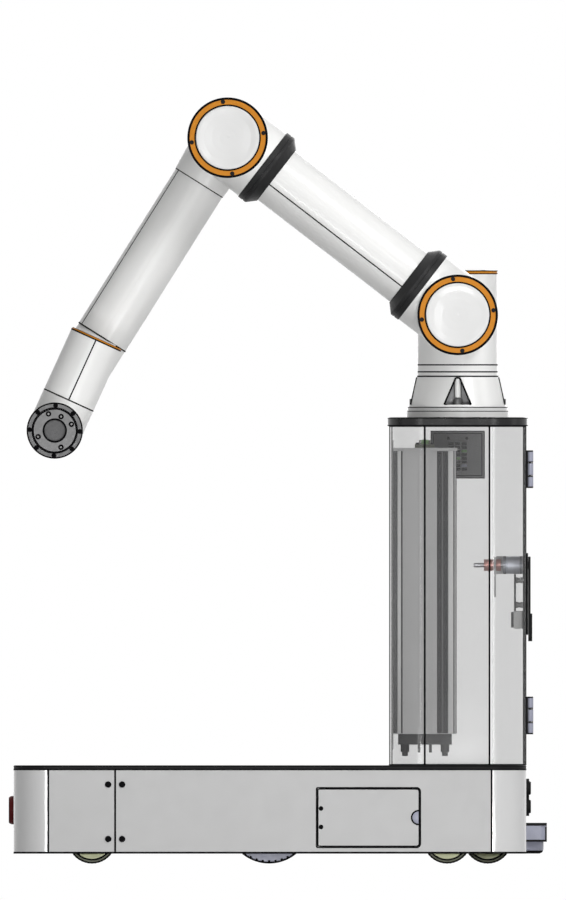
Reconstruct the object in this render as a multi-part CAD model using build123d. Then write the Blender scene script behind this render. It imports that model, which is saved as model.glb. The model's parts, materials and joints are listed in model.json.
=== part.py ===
from build123d import *
import os
from math import cos, sin, radians

# Mobile manipulator: a low wheeled base, a cabinet column and a six-axis arm.
# Millimetres. X runs from the front of the base (-X) to its rear, Y from the left side (-Y)
# to the right, Z up. The origin is on the floor, at the middle of the overall box.

os.makedirs("parts", exist_ok=True)

# Clearances
seat_gap = 0.3          # between pieces of different bodies that meet face to face
run_clearance = 0.05    # radial, of a shaft in its bore
seam = 2.4              # joint between two covers, filled by a rubber strip

# Base
base_length = 720.0
base_width = 480.0
base_corner = 50.0
base_clearance = 14.0   # floor to the underside
deck_height = 138.0     # floor to the deck's top
deck_thickness = 5.0
shell_wall = 4.0
pan_thickness = 3.0
end_shell_length = 48.5
front_panel_length = 94.0
deck_edge = 1.0         # chamfer
estop_reach = 7.0       # how far the stop button stands out of the front
scanner_reach = 28.9    # how far the scanner stands out of the rear
case_screw_spacing = 19.6
case_screw_levels = (34.4, 111.0)
case_screw_radius = 4.5
case_screw_head = 1.6
case_screw_shank = 2.0

# Column
column_depth = 192.5
column_width = 240.0
column_corner = 50.0
column_wall = 3.0
column_floor_thickness = 2.0
column_height = 476.7   # deck to the underside of the top plate
top_plate_thickness = 12.3
top_plate_overhang = 2.0
top_plate_edge = 1.5    # chamfer
door_gap = 0.8
door_thickness = 4.5
door_rail = 17.0        # frame above and below the door
door_stile = 14.0       # and beside it
hinge_height = 53.0
hinge_knuckle_radius = 4.75
hinge_pin_radius = 1.6
hinge_leaf = 2.5
hinge_leaf_fixed = 13.2         # widths from the hinge's axis
hinge_leaf_moving = 24.0
hinge_leaf_gap = 1.4
hinge_head_distance = 60.7      # upper hinge's middle from the column's top
hinge_foot_distance = 70.0      # and the lower one's from the deck

# Lock in the rear door
lock_side = 15.0        # beside the column's centre plane
lock_share = 0.59       # lock's height as a share of the column's
lock_plate_height = 115.0
lock_plate_rise = 17.0
lock_plate_width = 32.0
lock_plate_corner = 6.0
lock_plate_thickness = 2.5
lock_lever_length = 107.0
lock_lever_width = 16.0
lock_lever_thickness = 3.4
lock_lever_rise = 12.0
lock_lever_corner = 5.0
lock_grip_length = 39.0
lock_grip_rise = 2.3
barrel_radius = 12.5
barrel_length = 28.2
barrel_neck_radius = 9.7
spindle_radius = 5.0
shaft_radius = 3.15
shaft_length = 40.7
nut_radius = 9.4
nut_thicknesses = (8.4, 5.6, 7.1)
nut_space = 0.1
cam_engagement = 4.0    # how far the cam reaches behind the frame when locked
cam_width = 22.0
cam_corner = 4.0
cam_thickness = 2.6
cam_setback = 38.0      # cam's rear face from the inside of the door
keeper_thickness = 2.6
strap_setback = 12.65
strap_thickness = 2.8
strap_width = 16.0
strap_corner = 2.0
strap_reach = 64.2
strap_block_depth = 16.85
strap_block_height = 25.3
spacer_radius = 4.25

# Cabinet contents
controller_depth = 91.5
controller_side_room = 40.0     # column's side to the controller
controller_rise = 44.0          # deck to the controller's underside
controller_headroom = 30.7      # its lid to the column's top
controller_lid = 4.5
controller_lid_overhang = 1.2
controller_back_plate = 3.0
controller_back_rise = 11.0
controller_groove_depth = 5.0
controller_groove_width = 15.5
controller_groove_setback = 11.9
controller_rib = 2.0
controller_slit = 1.2
controller_slit_depth = 2.0
controller_base_height = 15.0
controller_base_inset = 6.5
controller_foot_height = 16.0
controller_foot_radius = 4.1
controller_foot_inset = 16.2
controller_foot_head = 10.4     # its wider upper part
connector_width = 4.0
connector_length = 8.0
connector_reach = 11.0
connector_spacing = 20.0
terminal_front = 30.0
terminal_depth = 28.0
terminal_half = 42.0
terminal_base = 5.0
terminal_height = 11.0
terminal_plug_inset = 6.0
terminal_pitch = 11.0
terminal_opening = 6.0
terminal_count = 7
junction_size = 76.0
junction_height = 67.0
junction_depth = 29.0
junction_headroom = 6.7
junction_corner = 0.8
junction_rim = 3.5
junction_recess = 1.5
junction_module_width = 29.0
junction_module_low = 8.0
junction_module_high = 15.0
junction_module_rise = 2.0

# Running gear
castor_radius = 34.0
castor_width = 24.0
castor_trail = 28.5
castor_axle_radius = 4.0
castor_core_radius = 26.0
castor_hub_radius = 9.0
castor_rim = 5.0
castor_side_inset = 80.0        # swivel axis from the base's side
castor_front_inset = 81.45      # and from the base's two ends
castor_rear_inset = 82.55
castor_plate_length = 84.0
castor_plate_width = 64.0
castor_plate_corner = 8.0
castor_plate_thickness = 6.0
castor_head_radius = 22.0
kingpin_radius = 6.0
fork_leg = 3.0
fork_leg_gap = 1.0
fork_crown = 4.0
fork_crown_gap = 5.0            # wheel to the underside of the crown
fork_front = 18.0               # crown's ends from the kingpin
fork_back = 26.0
fork_boss_radius = 8.0
tyre_set_in = 1.5
well_width = 132.0              # across the flats of a castor's eight-sided well
well_height = 90.0              # floor to its roof
drive_radius = 60.0
drive_width = 40.0
drive_side_inset = 45.0         # wheel's middle plane from the base's side
drive_x = -12.0
drive_core_radius = 48.0
drive_hub_radius = 20.0
drive_rim = 7.0
drive_dish = 10.0
drive_slot_gap = 6.0
drive_axle_radius = 8.0
drive_axle_length = 30.0
motor_radius = 32.0
motor_length = 88.0
gearbox_radius = 38.0
gearbox_length = 20.0
bracket_width = 60.0
bracket_start = 6.0
bracket_thickness = 10.0
bracket_flange = 44.0
bracket_flange_thickness = 6.0
battery_edge = 4.0              # chamfer
battery_side_room = 30.0
battery_end_room = 8.0

# Arm: link lengths and angles in the side view, from +X towards +Z
foot_radius = 71.4
foot_height = 63.0
foot_flange = 17.6
foot_bolt_circle = 61.0         # radius
foot_bolt_radius = 4.0
foot_bolt_head_radius = 6.5
foot_bolt_head = 8.0
foot_bolt_length = 26.0
pocket_depth = 51.0             # pocket's floor from the foot's axis
pocket_low_half = 18.7
pocket_high_half = 2.8
pocket_height = 37.5
pocket_rib_radius = 4.4
pocket_rib_set_in = 2.5
pocket_rib_low = 10.0
shoulder_radius = 56.1
shoulder_height = 201.0         # foot's seat to the top of the turning shoulder
shoulder_axis_height = 143.8    # foot's seat to the shoulder axis
upper_arm_length = 408.0
upper_arm_angle = 142.4
forearm_length = 376.0
forearm_angle = 237.8
wrist_offset = 102.5            # wrist axis 1 to the flange axis
wrist_angle = 245.5
flange_offset = 94.0            # wrist axis to the flange's face
upper_arm_plane = -130.0        # Y of the upper arm's centre line
forearm_plane = -20.0
wrist_plane = -121.5
joint_radius = 55.4
joint_depth = 114.0
joint_collar_start = 61.7
collar_length = 25.1
collar_radius = 56.6
collar_land = 13.0      # length before the bevel
collar_mouth = 45.1     # radius at the end of the bevel
upper_tube_radius = 43.4
cap_ring_radius = 56.4
cap_ring_thickness = 5.0
cap_lid_radius = 44.5
forearm_neck_radius = 42.0
forearm_neck_length = 74.7
forearm_tube_radius = 38.6
forearm_stub_length = 45.0
wrist_radius = 38.1
wrist_cap_thickness = 4.5
wrist_face = 46.0               # forearm's centre line to the joint with the wrist
wrist_back = 40.0               # and to its closed side
wrist_two_back = 42.0
wrist_split = 46.6              # from the flange axis to the wrist's own joint
flange_ring_radius = 39.4
flange_disc_radius = 31.2
flange_pilot_radius = 15.75
flange_pilot_depth = 6.0
flange_pcd = 50.0
flange_thread_radius = 3.0
flange_thread_depth = 8.0
spigot_bore_depth = 10.0
flange_spigot_step = 12.0
flange_dowel_radius = 2.5
flange_dowel_circle = 21.5
flange_dowel_depth = 6.0
flange_ring_circle = 35.2       # radius
flange_ring_screw_radius = 2.6
flange_ring_screw_depth = 3.0
flange_ring_screws = 8
flange_ring_thickness = 8.0
flange_ring_set_back = 14.0     # ring's back from the flange's face

# Hatch door in the left side
hatch_low_x, hatch_high_x = 55.0, 200.0
hatch_low_z, hatch_high_z = 23.0, 106.0
hatch_gap = 0.8
hatch_corner = 5.0
hatch_pin_radius = 1.0
hatch_pin_length = 5.0
finger_radius = 10.0
finger_depth = 2.4

# Controls
estop_radius = 20.0
estop_level = 75.0
estop_hole_gap = 2.0
estop_thickness = 15.0
estop_stem_radius = 6.0
estop_stem_length = 24.0
estop_cup_wall = 4.0
estop_cup_depth = 16.0
estop_cup_floor = 12.0
button_radius = 9.5
button_set_in = 10.0    # behind the shell's outer face
button_travel = 4.0     # space behind a button
button_body_wall = 1.5
button_body_depth = 27.0
button_bezel_radius = 13.2
button_bezel_height = 4.2
button_levels = (106.0, 80.0)
button_reach = 6.7
button_edge = 1.2
scanner_size = 69.0
scanner_corner = 10.0
scanner_height = 43.0   # with its top plate
scanner_gap = 0.8
scanner_head_radius = 30.0
scanner_head_height = 17.0
scanner_plate = 5.0
scanner_plate_overlap = 8.0
scanner_tab_gap = 2.4
scanner_spindle_radius = 5.0
scanner_spindle_length = 13.0

# Places that follow from the sizes
base_middle = (estop_reach - scanner_reach) / 2
base_front = base_middle - base_length / 2
base_rear = base_middle + base_length / 2
side = base_width / 2
drive_side = side - drive_side_inset
castor_side = side - castor_side_inset
castor_front = base_front + castor_front_inset
castor_rear = base_rear - castor_rear_inset
deck_bottom = deck_height - deck_thickness
pan_top = base_clearance + pan_thickness
panel_front = base_front + end_shell_length
panel_rear = base_rear - end_shell_length
panel_split = panel_front + front_panel_length
column_rear = base_rear
column_front = column_rear - column_depth
column_side = column_width / 2
column_floor_top = deck_height + column_floor_thickness
column_top = deck_height + column_height
foot_level = column_top + top_plate_thickness
arm_x = (column_front + column_rear) / 2
shoulder_z = foot_level + shoulder_axis_height
shoulder_top = foot_level + shoulder_height
flat_front = column_front + column_corner
flat_rear = column_rear - column_corner
flat_half = column_side - column_corner
door_inner = column_rear - door_thickness
frame_edge = flat_half - door_stile
door_half = frame_edge - door_gap
hinge_x = column_rear + hinge_knuckle_radius + seat_gap
hinge_y = -frame_edge
hinge_levels = (column_top - hinge_head_distance, deck_height + hinge_foot_distance)
lock_level = deck_height + lock_share * column_height
forearm_tube_end = forearm_length - forearm_stub_length


def in_side_view(x, z, angle, length):
    """The point at a distance and angle from (x, z) in the side view."""
    return x + length * cos(radians(angle)), z + length * sin(radians(angle))


elbow_x, elbow_z = in_side_view(arm_x, shoulder_z, upper_arm_angle, upper_arm_length)
wrist_x, wrist_z = in_side_view(elbow_x, elbow_z, forearm_angle, forearm_length)


def save(name, *solids):
    """Write one node: a single solid, or several that share the node."""
    shape = solids[0] if len(solids) == 1 else Compound(children=list(solids))
    export_step(shape, f"parts/{name}.step")


def block(x, y, z):
    """A box between the limits given for each axis."""
    size = [high - low for low, high in (x, y, z)]
    middle = [(high + low) / 2 for low, high in (x, y, z)]
    return Pos(*middle) * Box(*size)


def rod(start, direction, radius, length):
    """A cylinder that begins at a point and runs along a direction."""
    place = Plane(origin=start, z_dir=direction).location
    return place * Cylinder(radius, length, align=(Align.CENTER, Align.CENTER, Align.MIN))


def turned(start, direction, profile):
    """A solid of revolution from (radius, height) points."""
    outline = Polyline(*[(r, 0, h) for r, h in profile], close=True)
    solid = revolve(make_face(outline), Axis.Z)
    return Plane(origin=start, z_dir=direction).location * solid


def rounded_slab(x, half_y, corner, z):
    """A slab with rounded corners in plan."""
    sketch = RectangleRounded(x[1] - x[0], 2 * half_y, corner)
    return Pos((x[0] + x[1]) / 2, 0, z[0]) * extrude(sketch, z[1] - z[0])


def side_slab(x, z, corner, y):
    """A slab with rounded corners in the side view, between two values of Y."""
    sketch = RectangleRounded(x[1] - x[0], z[1] - z[0], corner)
    place = Plane(origin=((x[0] + x[1]) / 2, y[1], (z[0] + z[1]) / 2), x_dir=(1, 0, 0), z_dir=(0, -1, 0))
    return place.location * extrude(sketch, y[1] - y[0])


def on_arm(x, z, y, angle):
    """A frame on the arm: X along the link, Z towards the left side."""
    origin = (x, y, z)
    return Plane(origin=origin, x_dir=(cos(radians(angle)), 0, sin(radians(angle))), z_dir=(0, -1, 0)).location


# Base: pan, deck, covers

def base_outline(z, inset=0.0):
    return rounded_slab((base_front + inset, base_rear - inset), side - inset, base_corner - inset, z)


scanner_x = base_rear + scanner_reach - scanner_size / 2
scanner_back = scanner_x - scanner_size / 2
scanner_top = base_clearance + scanner_height
scanner_half = scanner_size / 2
scanner_notch = scanner_half + scanner_gap
castor_places = [(x, y * castor_side) for x in (castor_front, castor_rear) for y in (-1, 1)]


def castor_well(x, y, width, top):
    """An eight-sided block from the pan's underside up."""
    octagon = RegularPolygon(width / 2, 8, major_radius=False, rotation=22.5)
    return Pos(x, y, base_clearance) * extrude(octagon, top - base_clearance)


def base_pan():
    """The bottom tray, with a well for each castor and a slot for each drive wheel."""
    pan = base_outline((base_clearance, pan_top), shell_wall + seat_gap)
    for x, y in castor_places:
        pan += castor_well(x, y, well_width + 2 * pan_thickness, well_height + pan_thickness)
    for x, y in castor_places:
        pan -= castor_well(x, y, well_width, well_height)
    slot = drive_radius + drive_slot_gap
    reach = drive_width / 2 + drive_slot_gap
    for y in (-drive_side, drive_side):
        pan -= block((drive_x - slot, drive_x + slot), (y - reach, y + reach), (base_clearance, pan_top))
    pan -= block((scanner_back - scanner_gap, base_rear), (-scanner_notch, scanner_notch), (base_clearance, pan_top))
    tab = scanner_back - scanner_tab_gap
    pan += block((tab - pan_thickness, tab), (-scanner_notch, scanner_notch),
                 (base_clearance, scanner_top - scanner_plate))
    return pan


save("base_pan", base_pan())

deck = base_outline((deck_bottom, deck_height))
deck = chamfer(deck.edges().group_by(Axis.Z)[-1], deck_edge)
save("deck_plate", deck)

shell_ring = base_outline((base_clearance, deck_bottom)) - base_outline((base_clearance, deck_bottom), shell_wall)

front_shell = shell_ring & block((base_front, panel_front - seam / 2), (-side, side), (base_clearance, deck_bottom))
estop_hole = estop_radius + estop_hole_gap
front_shell -= rod((base_front, 0, estop_level), (1, 0, 0), estop_hole, shell_wall)
save("front_shell", front_shell)

rear_shell = shell_ring & block((panel_rear + seam / 2, base_rear), (-side, side), (base_clearance, deck_bottom))
button_body_radius = button_radius + button_body_wall
for level in button_levels:
    rear_shell -= rod((base_rear, 0, level), (-1, 0, 0), button_body_radius + seat_gap, shell_wall)
rear_shell -= block((base_rear - shell_wall, base_rear), (-scanner_notch, scanner_notch),
                    (base_clearance, scanner_top + scanner_gap))
save("rear_shell", rear_shell)

screw_x = [panel_split - case_screw_spacing / 2, panel_split + case_screw_spacing / 2]


def side_panel(y, x):
    """A flat cover between the end shells, with holes for its screws."""
    inner, outer = sorted((y * (side - shell_wall), y * side))
    panel = block(x, (inner, outer), (base_clearance, deck_bottom))
    for sx in screw_x:
        if x[0] < sx < x[1]:
            for level in case_screw_levels:
                panel -= rod((sx, y * side, level), (0, -y, 0), case_screw_shank + seat_gap, shell_wall)
    return panel


front_panel_span = (panel_front + seam / 2, panel_split - seam / 2)
main_panel_span = (panel_split + seam / 2, panel_rear - seam / 2)
save("front_side_panels", side_panel(-1, front_panel_span), side_panel(1, front_panel_span))
save("right_side_panel", side_panel(1, main_panel_span))

hatch_axis_y = -(side - shell_wall / 2)
hatch_edge = hatch_low_x + hatch_gap
hatch_axis_x = hatch_edge + shell_wall / 2
panel_depth = (-side, -side + shell_wall)
hatch_span_z = (hatch_low_z + hatch_gap, hatch_high_z - hatch_gap)

left_panel = side_panel(-1, main_panel_span)
left_panel -= side_slab((hatch_low_x, hatch_high_x), (hatch_low_z, hatch_high_z), hatch_corner, panel_depth)
left_panel -= block((hatch_low_x, hatch_low_x + hatch_corner), panel_depth, (hatch_low_z, hatch_high_z))
for level, direction in ((hatch_low_z, -1), (hatch_high_z, 1)):
    left_panel -= rod((hatch_axis_x, hatch_axis_y, level), (0, 0, direction),
                      hatch_pin_radius + run_clearance, hatch_pin_length)
save("left_side_panel", left_panel)

hatch = side_slab((hatch_edge, hatch_high_x - hatch_gap), hatch_span_z, hatch_corner - hatch_gap, panel_depth)
hatch -= block((hatch_edge, hatch_axis_x), panel_depth, hatch_span_z)
hatch += block((hatch_axis_x, hatch_axis_x + hatch_corner), panel_depth, hatch_span_z)
hatch += rod((hatch_axis_x, hatch_axis_y, hatch_span_z[0]), (0, 0, 1), shell_wall / 2,
             hatch_span_z[1] - hatch_span_z[0])
hatch += rod((hatch_axis_x, hatch_axis_y, hatch_low_z - hatch_pin_length + seat_gap), (0, 0, 1),
             hatch_pin_radius, hatch_high_z - hatch_low_z + 2 * (hatch_pin_length - seat_gap))
finger_level = (hatch_low_z + hatch_high_z) / 2
hatch -= rod((hatch_high_x - hatch_gap, -side, finger_level), (0, 1, 0), finger_radius, finger_depth)
save("hatch_door", hatch)


# Running gear

castor_seat = well_height - castor_plate_thickness


def castor_plate(x, y):
    """The plate under the well's roof that the fork swivels in."""
    sketch = RectangleRounded(castor_plate_length, castor_plate_width, castor_plate_corner)
    plate = Pos(x, y, castor_seat) * extrude(sketch, castor_plate_thickness)
    return plate - rod((x, y, castor_seat), (0, 0, 1), kingpin_radius + run_clearance, castor_plate_thickness)


save("castor_plates", *[castor_plate(x, y) for x, y in castor_places])


def castor_fork(x, y, trail):
    """A swivel fork: head, kingpin, two legs and the axle, with the wheel behind the kingpin."""
    head_top = castor_seat - seat_gap
    crown_low = 2 * castor_radius + fork_crown_gap
    crown_high = crown_low + fork_crown
    fork = rod((x, y, crown_low), (0, 0, 1), castor_head_radius, head_top - crown_low)
    fork += rod((x, y, crown_high), (0, 0, 1), kingpin_radius, well_height - seat_gap - crown_high)
    axle_x = x + trail * castor_trail
    leg_inner = castor_width / 2 + fork_leg_gap
    leg_outer = leg_inner + fork_leg
    crown_start, crown_end = x - trail * fork_front, x + trail * fork_back
    outline = [(crown_start, crown_high), (crown_end, crown_high),
               (axle_x + trail * fork_boss_radius, castor_radius), (axle_x - trail * fork_boss_radius, castor_radius)]
    for low in (y - leg_outer, y + leg_inner):
        sketch = make_face(Polyline(*[(px, low + fork_leg, pz) for px, pz in outline], close=True))
        fork += extrude(sketch, fork_leg, dir=(0, -1, 0))
        fork += rod((axle_x, low, castor_radius), (0, 1, 0), fork_boss_radius, fork_leg)
    fork += block(sorted((crown_start, crown_end)), (y - leg_outer, y + leg_outer), (crown_low, crown_high))
    axle_half = leg_outer + fork_leg / 2
    return fork + rod((axle_x, y - axle_half, castor_radius), (0, 1, 0), castor_axle_radius, 2 * axle_half)


def castor_wheel(x, y, trail):
    """A plastic core that turns on the fork's axle, and its tyre."""
    start = (x + trail * castor_trail, y - castor_width / 2, castor_radius)
    bore = castor_axle_radius + run_clearance
    rim_inner = castor_core_radius - castor_rim
    far = castor_width
    core = turned(start, (0, 1, 0), [
        (bore, 0), (castor_hub_radius, 0), (castor_hub_radius, castor_rim), (rim_inner, castor_rim),
        (rim_inner, tyre_set_in), (castor_core_radius, tyre_set_in), (castor_core_radius, far - tyre_set_in),
        (rim_inner, far - tyre_set_in), (rim_inner, far - castor_rim), (castor_hub_radius, far - castor_rim),
        (castor_hub_radius, far), (bore, far)])
    inner = castor_core_radius + run_clearance
    tyre = turned(start, (0, 1, 0), [
        (inner, tyre_set_in), (castor_radius - 4, tyre_set_in), (castor_radius - 1, 4), (castor_radius, 8),
        (castor_radius, far - 8), (castor_radius - 1, far - 4), (castor_radius - 4, far - tyre_set_in),
        (inner, far - tyre_set_in)])
    return core, tyre


# The front castors trail towards the rear, and the rear pair is swivelled opposite ways.
castor_names = {"front_left": (castor_front, -castor_side, 1), "front_right": (castor_front, castor_side, 1),
                "rear_left": (castor_rear, -castor_side, -1), "rear_right": (castor_rear, castor_side, 1)}
for corner, (x, y, trail) in castor_names.items():
    save(f"castor_fork_{corner}", castor_fork(x, y, trail))
    save(f"castor_wheel_{corner}", *castor_wheel(x, y, trail))


def drive_wheel(y):
    """A hub with its axle, and a tyre. The axle runs in the gear motor."""
    outward = 1 if y > 0 else -1
    start = (drive_x, y - outward * drive_width / 2, drive_radius)
    out = (0, outward, 0)
    rim_outer, rim_inner = drive_core_radius, drive_core_radius - drive_rim
    near, far = tyre_set_in, drive_width - tyre_set_in
    hub = turned(start, out, [
        (0, 0), (drive_hub_radius, 0), (drive_hub_radius, drive_dish), (rim_inner, drive_dish), (rim_inner, near),
        (rim_outer, near), (rim_outer, far), (rim_inner, far), (rim_inner - 3, drive_width - drive_dish),
        (drive_hub_radius - 2, drive_width - drive_dish), (drive_hub_radius - 4, drive_width), (0, drive_width)])
    hub += rod(start, (0, -outward, 0), drive_axle_radius, drive_axle_length)
    inner = rim_outer + run_clearance
    tyre = turned(start, out, [
        (inner, near), (drive_radius - 3, near), (drive_radius, 5), (drive_radius, drive_width - 5),
        (drive_radius - 3, far), (inner, far)])
    return hub, tyre


def drive_motor(y):
    """A gear motor on a bracket that hangs from the deck."""
    outward = 1 if y > 0 else -1
    face = y - outward * (drive_width / 2 + seat_gap)
    into = (0, -outward, 0)
    motor = rod((drive_x, face, drive_radius), into, gearbox_radius, gearbox_length)
    motor += rod((drive_x, face - outward * gearbox_length, drive_radius), into, motor_radius, motor_length)
    start = face - outward * bracket_start
    span = (drive_x - bracket_width / 2, drive_x + bracket_width / 2)
    motor += block(span, sorted((start, start - outward * bracket_thickness)), (drive_radius, deck_bottom))
    motor += block(span, sorted((start, start - outward * bracket_flange)),
                   (deck_bottom - bracket_flange_thickness, deck_bottom))
    bore = drive_axle_radius + run_clearance
    return motor - rod((drive_x, face, drive_radius), into, bore, drive_axle_length + 1)


save("drive_wheel_left", *drive_wheel(-drive_side))
save("drive_wheel_right", *drive_wheel(drive_side))
save("drive_motors", drive_motor(-drive_side), drive_motor(drive_side))

battery = block((hatch_low_x + battery_end_room, hatch_high_x - battery_end_room),
                (-side + battery_side_room, side - battery_side_room), (pan_top, hatch_high_z))
battery = chamfer(battery.edges().filter_by(Axis.Y), battery_edge)
save("battery_pack", battery)


# Controls in the two end shells

def button_bezel(level):
    """A panel-mount push-button body with its front bezel."""
    back = base_rear - button_body_depth
    bezel = rod((base_rear, 0, level), (1, 0, 0), button_bezel_radius, button_bezel_height)
    bezel += rod((back, 0, level), (1, 0, 0), button_body_radius, button_body_depth)
    bore_back = base_rear - button_set_in - button_travel
    return bezel - rod((bore_back, 0, level), (1, 0, 0), button_radius + run_clearance,
                       base_rear + button_bezel_height - bore_back)


def push_button(level):
    """The moving cap, with a rounded edge."""
    length = button_set_in + button_reach
    return turned((base_rear - button_set_in, 0, level), (1, 0, 0), [
        (0, 0), (button_radius, 0), (button_radius, length - button_edge), (button_radius - button_edge, length),
        (0, length)])


shell_inside = base_front + shell_wall


def estop_cup():
    """The body behind the front shell that guides the stop button's stem."""
    start = (shell_inside, 0, estop_level)
    depth = estop_cup_depth + estop_cup_floor
    cup = rod(start, (1, 0, 0), estop_hole + estop_cup_wall, depth)
    cup -= rod(start, (1, 0, 0), estop_hole, estop_cup_depth)
    return cup - rod(start, (1, 0, 0), estop_stem_radius + run_clearance, depth)


save("control_bezels", estop_cup(), *[button_bezel(level) for level in button_levels])
save("start_button", push_button(button_levels[0]))
save("reset_button", push_button(button_levels[1]))

estop_length = estop_thickness + estop_stem_length
estop = turned((base_front - estop_reach, 0, estop_level), (1, 0, 0), [
    (0, 0), (estop_radius - 4, 0), (estop_radius - 1.2, 1.2), (estop_radius, 4), (estop_radius, estop_thickness),
    (estop_stem_radius, estop_thickness), (estop_stem_radius, estop_length), (0, estop_length)])
save("estop_head", estop)

scanner_low = base_clearance + scanner_head_height
scanner_plate_low = scanner_top - scanner_plate
scanner_body = RectangleRounded(scanner_size, scanner_size, scanner_corner)
scanner = Pos(scanner_x, 0, scanner_low + seat_gap) * extrude(
    scanner_body, scanner_plate_low - scanner_low - seat_gap)
scanner += block((scanner_back - scanner_plate_overlap, base_rear + scanner_reach), (-scanner_half, scanner_half),
                 (scanner_plate_low, scanner_top))
scanner -= rod((scanner_x, 0, scanner_low), (0, 0, 1), scanner_spindle_radius + run_clearance,
               scanner_spindle_length + 1)
save("scanner_base", scanner)

spindle_top = scanner_head_height + scanner_spindle_length
scanner_head = turned((scanner_x, 0, base_clearance), (0, 0, 1), [
    (0, 0), (scanner_head_radius - 6, 0), (scanner_head_radius - 2, 1.8), (scanner_head_radius, 6),
    (scanner_head_radius, scanner_head_height), (scanner_spindle_radius, scanner_head_height),
    (scanner_spindle_radius, spindle_top), (0, spindle_top)])
save("scanner_head", scanner_head)


# Column

def column_outline(z, inset=0.0):
    return rounded_slab((column_front + inset, column_rear - inset), column_side - inset,
                        column_corner - inset, z)


column_span = (deck_height, column_top)
column_ring = column_outline(column_span) - column_outline(column_span, column_wall)

save("column_floor", column_outline((deck_height, column_floor_top), column_wall + seat_gap)
     - block((door_inner - seat_gap, column_rear), (-flat_half, flat_half), (deck_height, column_floor_top)))

front_half = block((column_front, flat_front - seam / 2), (-column_side, column_side), column_span)
save("column_front_shell", column_ring & front_half)

side_pieces = []
for y in (-1, 1):
    inner, outer = sorted((y * (flat_half + seat_gap), y * column_side))
    flat = block((flat_front + seam / 2, flat_rear - seam / 2), (inner, outer), column_span)
    corner = block((flat_rear + seam / 2, column_rear), (inner, outer), column_span)
    side_pieces += [column_ring & flat, column_ring & corner]
save("column_side_panels", *side_pieces)

top_plate = column_outline((column_top, foot_level), -top_plate_overhang)
top_plate = chamfer(top_plate.edges().group_by(Axis.Z)[-1], top_plate_edge)
foot_turns = (0, 90, 180, 270)
for turn in foot_turns:
    bx = arm_x + foot_bolt_circle * cos(radians(turn))
    by = foot_bolt_circle * sin(radians(turn))
    top_plate -= rod((bx, by, column_top), (0, 0, 1), foot_bolt_radius + run_clearance, top_plate_thickness)
save("column_top_plate", top_plate)

door_span = (deck_height + door_rail, column_top - door_rail)
knuckle = hinge_height / 3
hinge_bore = hinge_pin_radius + run_clearance


def hinge_part(level, moving):
    """Leaf and knuckles of one hinge. The fixed part has the outer knuckles and the pin."""
    low = level - hinge_height / 2
    outer = [(low, low + knuckle - seat_gap), (low + 2 * knuckle + seat_gap, low + hinge_height)]
    middle = [(low + knuckle, low + 2 * knuckle)]
    leaf_x = (column_rear, column_rear + hinge_leaf)
    clear = hinge_knuckle_radius + seat_gap
    sign = 1 if moving else -1
    far = hinge_y + sign * (hinge_leaf_moving if moving else hinge_leaf_fixed)
    ends = sorted((hinge_y + sign * clear, far))
    part = block(leaf_x, ends, (low, low + hinge_height))
    for span in (middle if moving else outer):
        part += rod((hinge_x, hinge_y, span[0]), (0, 0, 1), hinge_knuckle_radius, span[1] - span[0])
        reach = sorted((hinge_y + sign * hinge_leaf_gap, hinge_y + sign * clear))
        part += block(leaf_x, reach, span)
    if moving:
        return part - rod((hinge_x, hinge_y, low), (0, 0, 1), hinge_bore, hinge_height)
    return part + rod((hinge_x, hinge_y, low), (0, 0, 1), hinge_pin_radius, hinge_height)


rear_frame = block((door_inner, column_rear), (-flat_half, flat_half), column_span)
frame_low, frame_high = door_span[0] - door_gap, door_span[1] + door_gap
rear_frame -= block((door_inner, column_rear), (-frame_edge, frame_edge), (frame_low, frame_high))
cam_rear = door_inner - cam_setback
keeper_low = frame_edge + seat_gap
rear_frame += block((cam_rear + seat_gap, door_inner + 1), (keeper_low, keeper_low + keeper_thickness),
                    (lock_level - barrel_radius, lock_level + barrel_radius))
for level in hinge_levels:
    rear_frame += hinge_part(level, moving=False)
save("column_rear_frame", rear_frame)

door = block((door_inner, column_rear), (-door_half, door_half), door_span)
door -= rod((door_inner, lock_side, lock_level), (1, 0, 0), barrel_neck_radius + run_clearance, door_thickness)
for level in hinge_levels:
    door += hinge_part(level, moving=True)
save("rear_door", door)


# Door lock: plate, barrel and lower fixing on the door, and the turning spindle with its cam

def door_slab(x, half_y, z, corner):
    """A plate parallel to the door, centred on the lock, with rounded corners."""
    sketch = RectangleRounded(2 * half_y, z[1] - z[0], corner)
    place = Plane(origin=(x[0], lock_side, (z[0] + z[1]) / 2), x_dir=(0, 1, 0), z_dir=(1, 0, 0))
    return place.location * extrude(sketch, x[1] - x[0])


lock_axis = (1, 0, 0)
plate_front = column_rear + lock_plate_thickness
plate_top = lock_level + lock_plate_rise
escutcheon = door_slab((column_rear, plate_front), lock_plate_width / 2,
                       (plate_top - lock_plate_height, plate_top), lock_plate_corner)
escutcheon -= rod((column_rear, lock_side, lock_level), lock_axis, spindle_radius + run_clearance,
                  lock_plate_thickness)
barrel_front = door_inner - seat_gap - barrel_length
barrel = rod((barrel_front, lock_side, lock_level), lock_axis, barrel_radius, barrel_length)
barrel += rod((barrel_front, lock_side, lock_level), lock_axis, barrel_neck_radius,
              column_rear - barrel_front)
barrel -= rod((barrel_front, lock_side, lock_level), lock_axis, spindle_radius + run_clearance,
              column_rear - barrel_front)
strap_front = door_inner - strap_setback
strap_back = strap_front + strap_thickness
strap_top = lock_level - barrel_radius - seat_gap
strap_low = lock_level - strap_reach
strap = door_slab((strap_front, strap_back), strap_width / 2, (strap_low, strap_top), strap_corner)
spacer_levels = (strap_low + 2 * spacer_radius, strap_top - 2 * spacer_radius)
spacers = [rod((strap_back, lock_side, level), lock_axis, spacer_radius, door_inner - strap_back)
           for level in spacer_levels]
lock_block = door_slab((door_inner - strap_block_depth, door_inner), strap_width / 2,
                       (strap_low - strap_block_height, strap_low), strap_corner)
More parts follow.
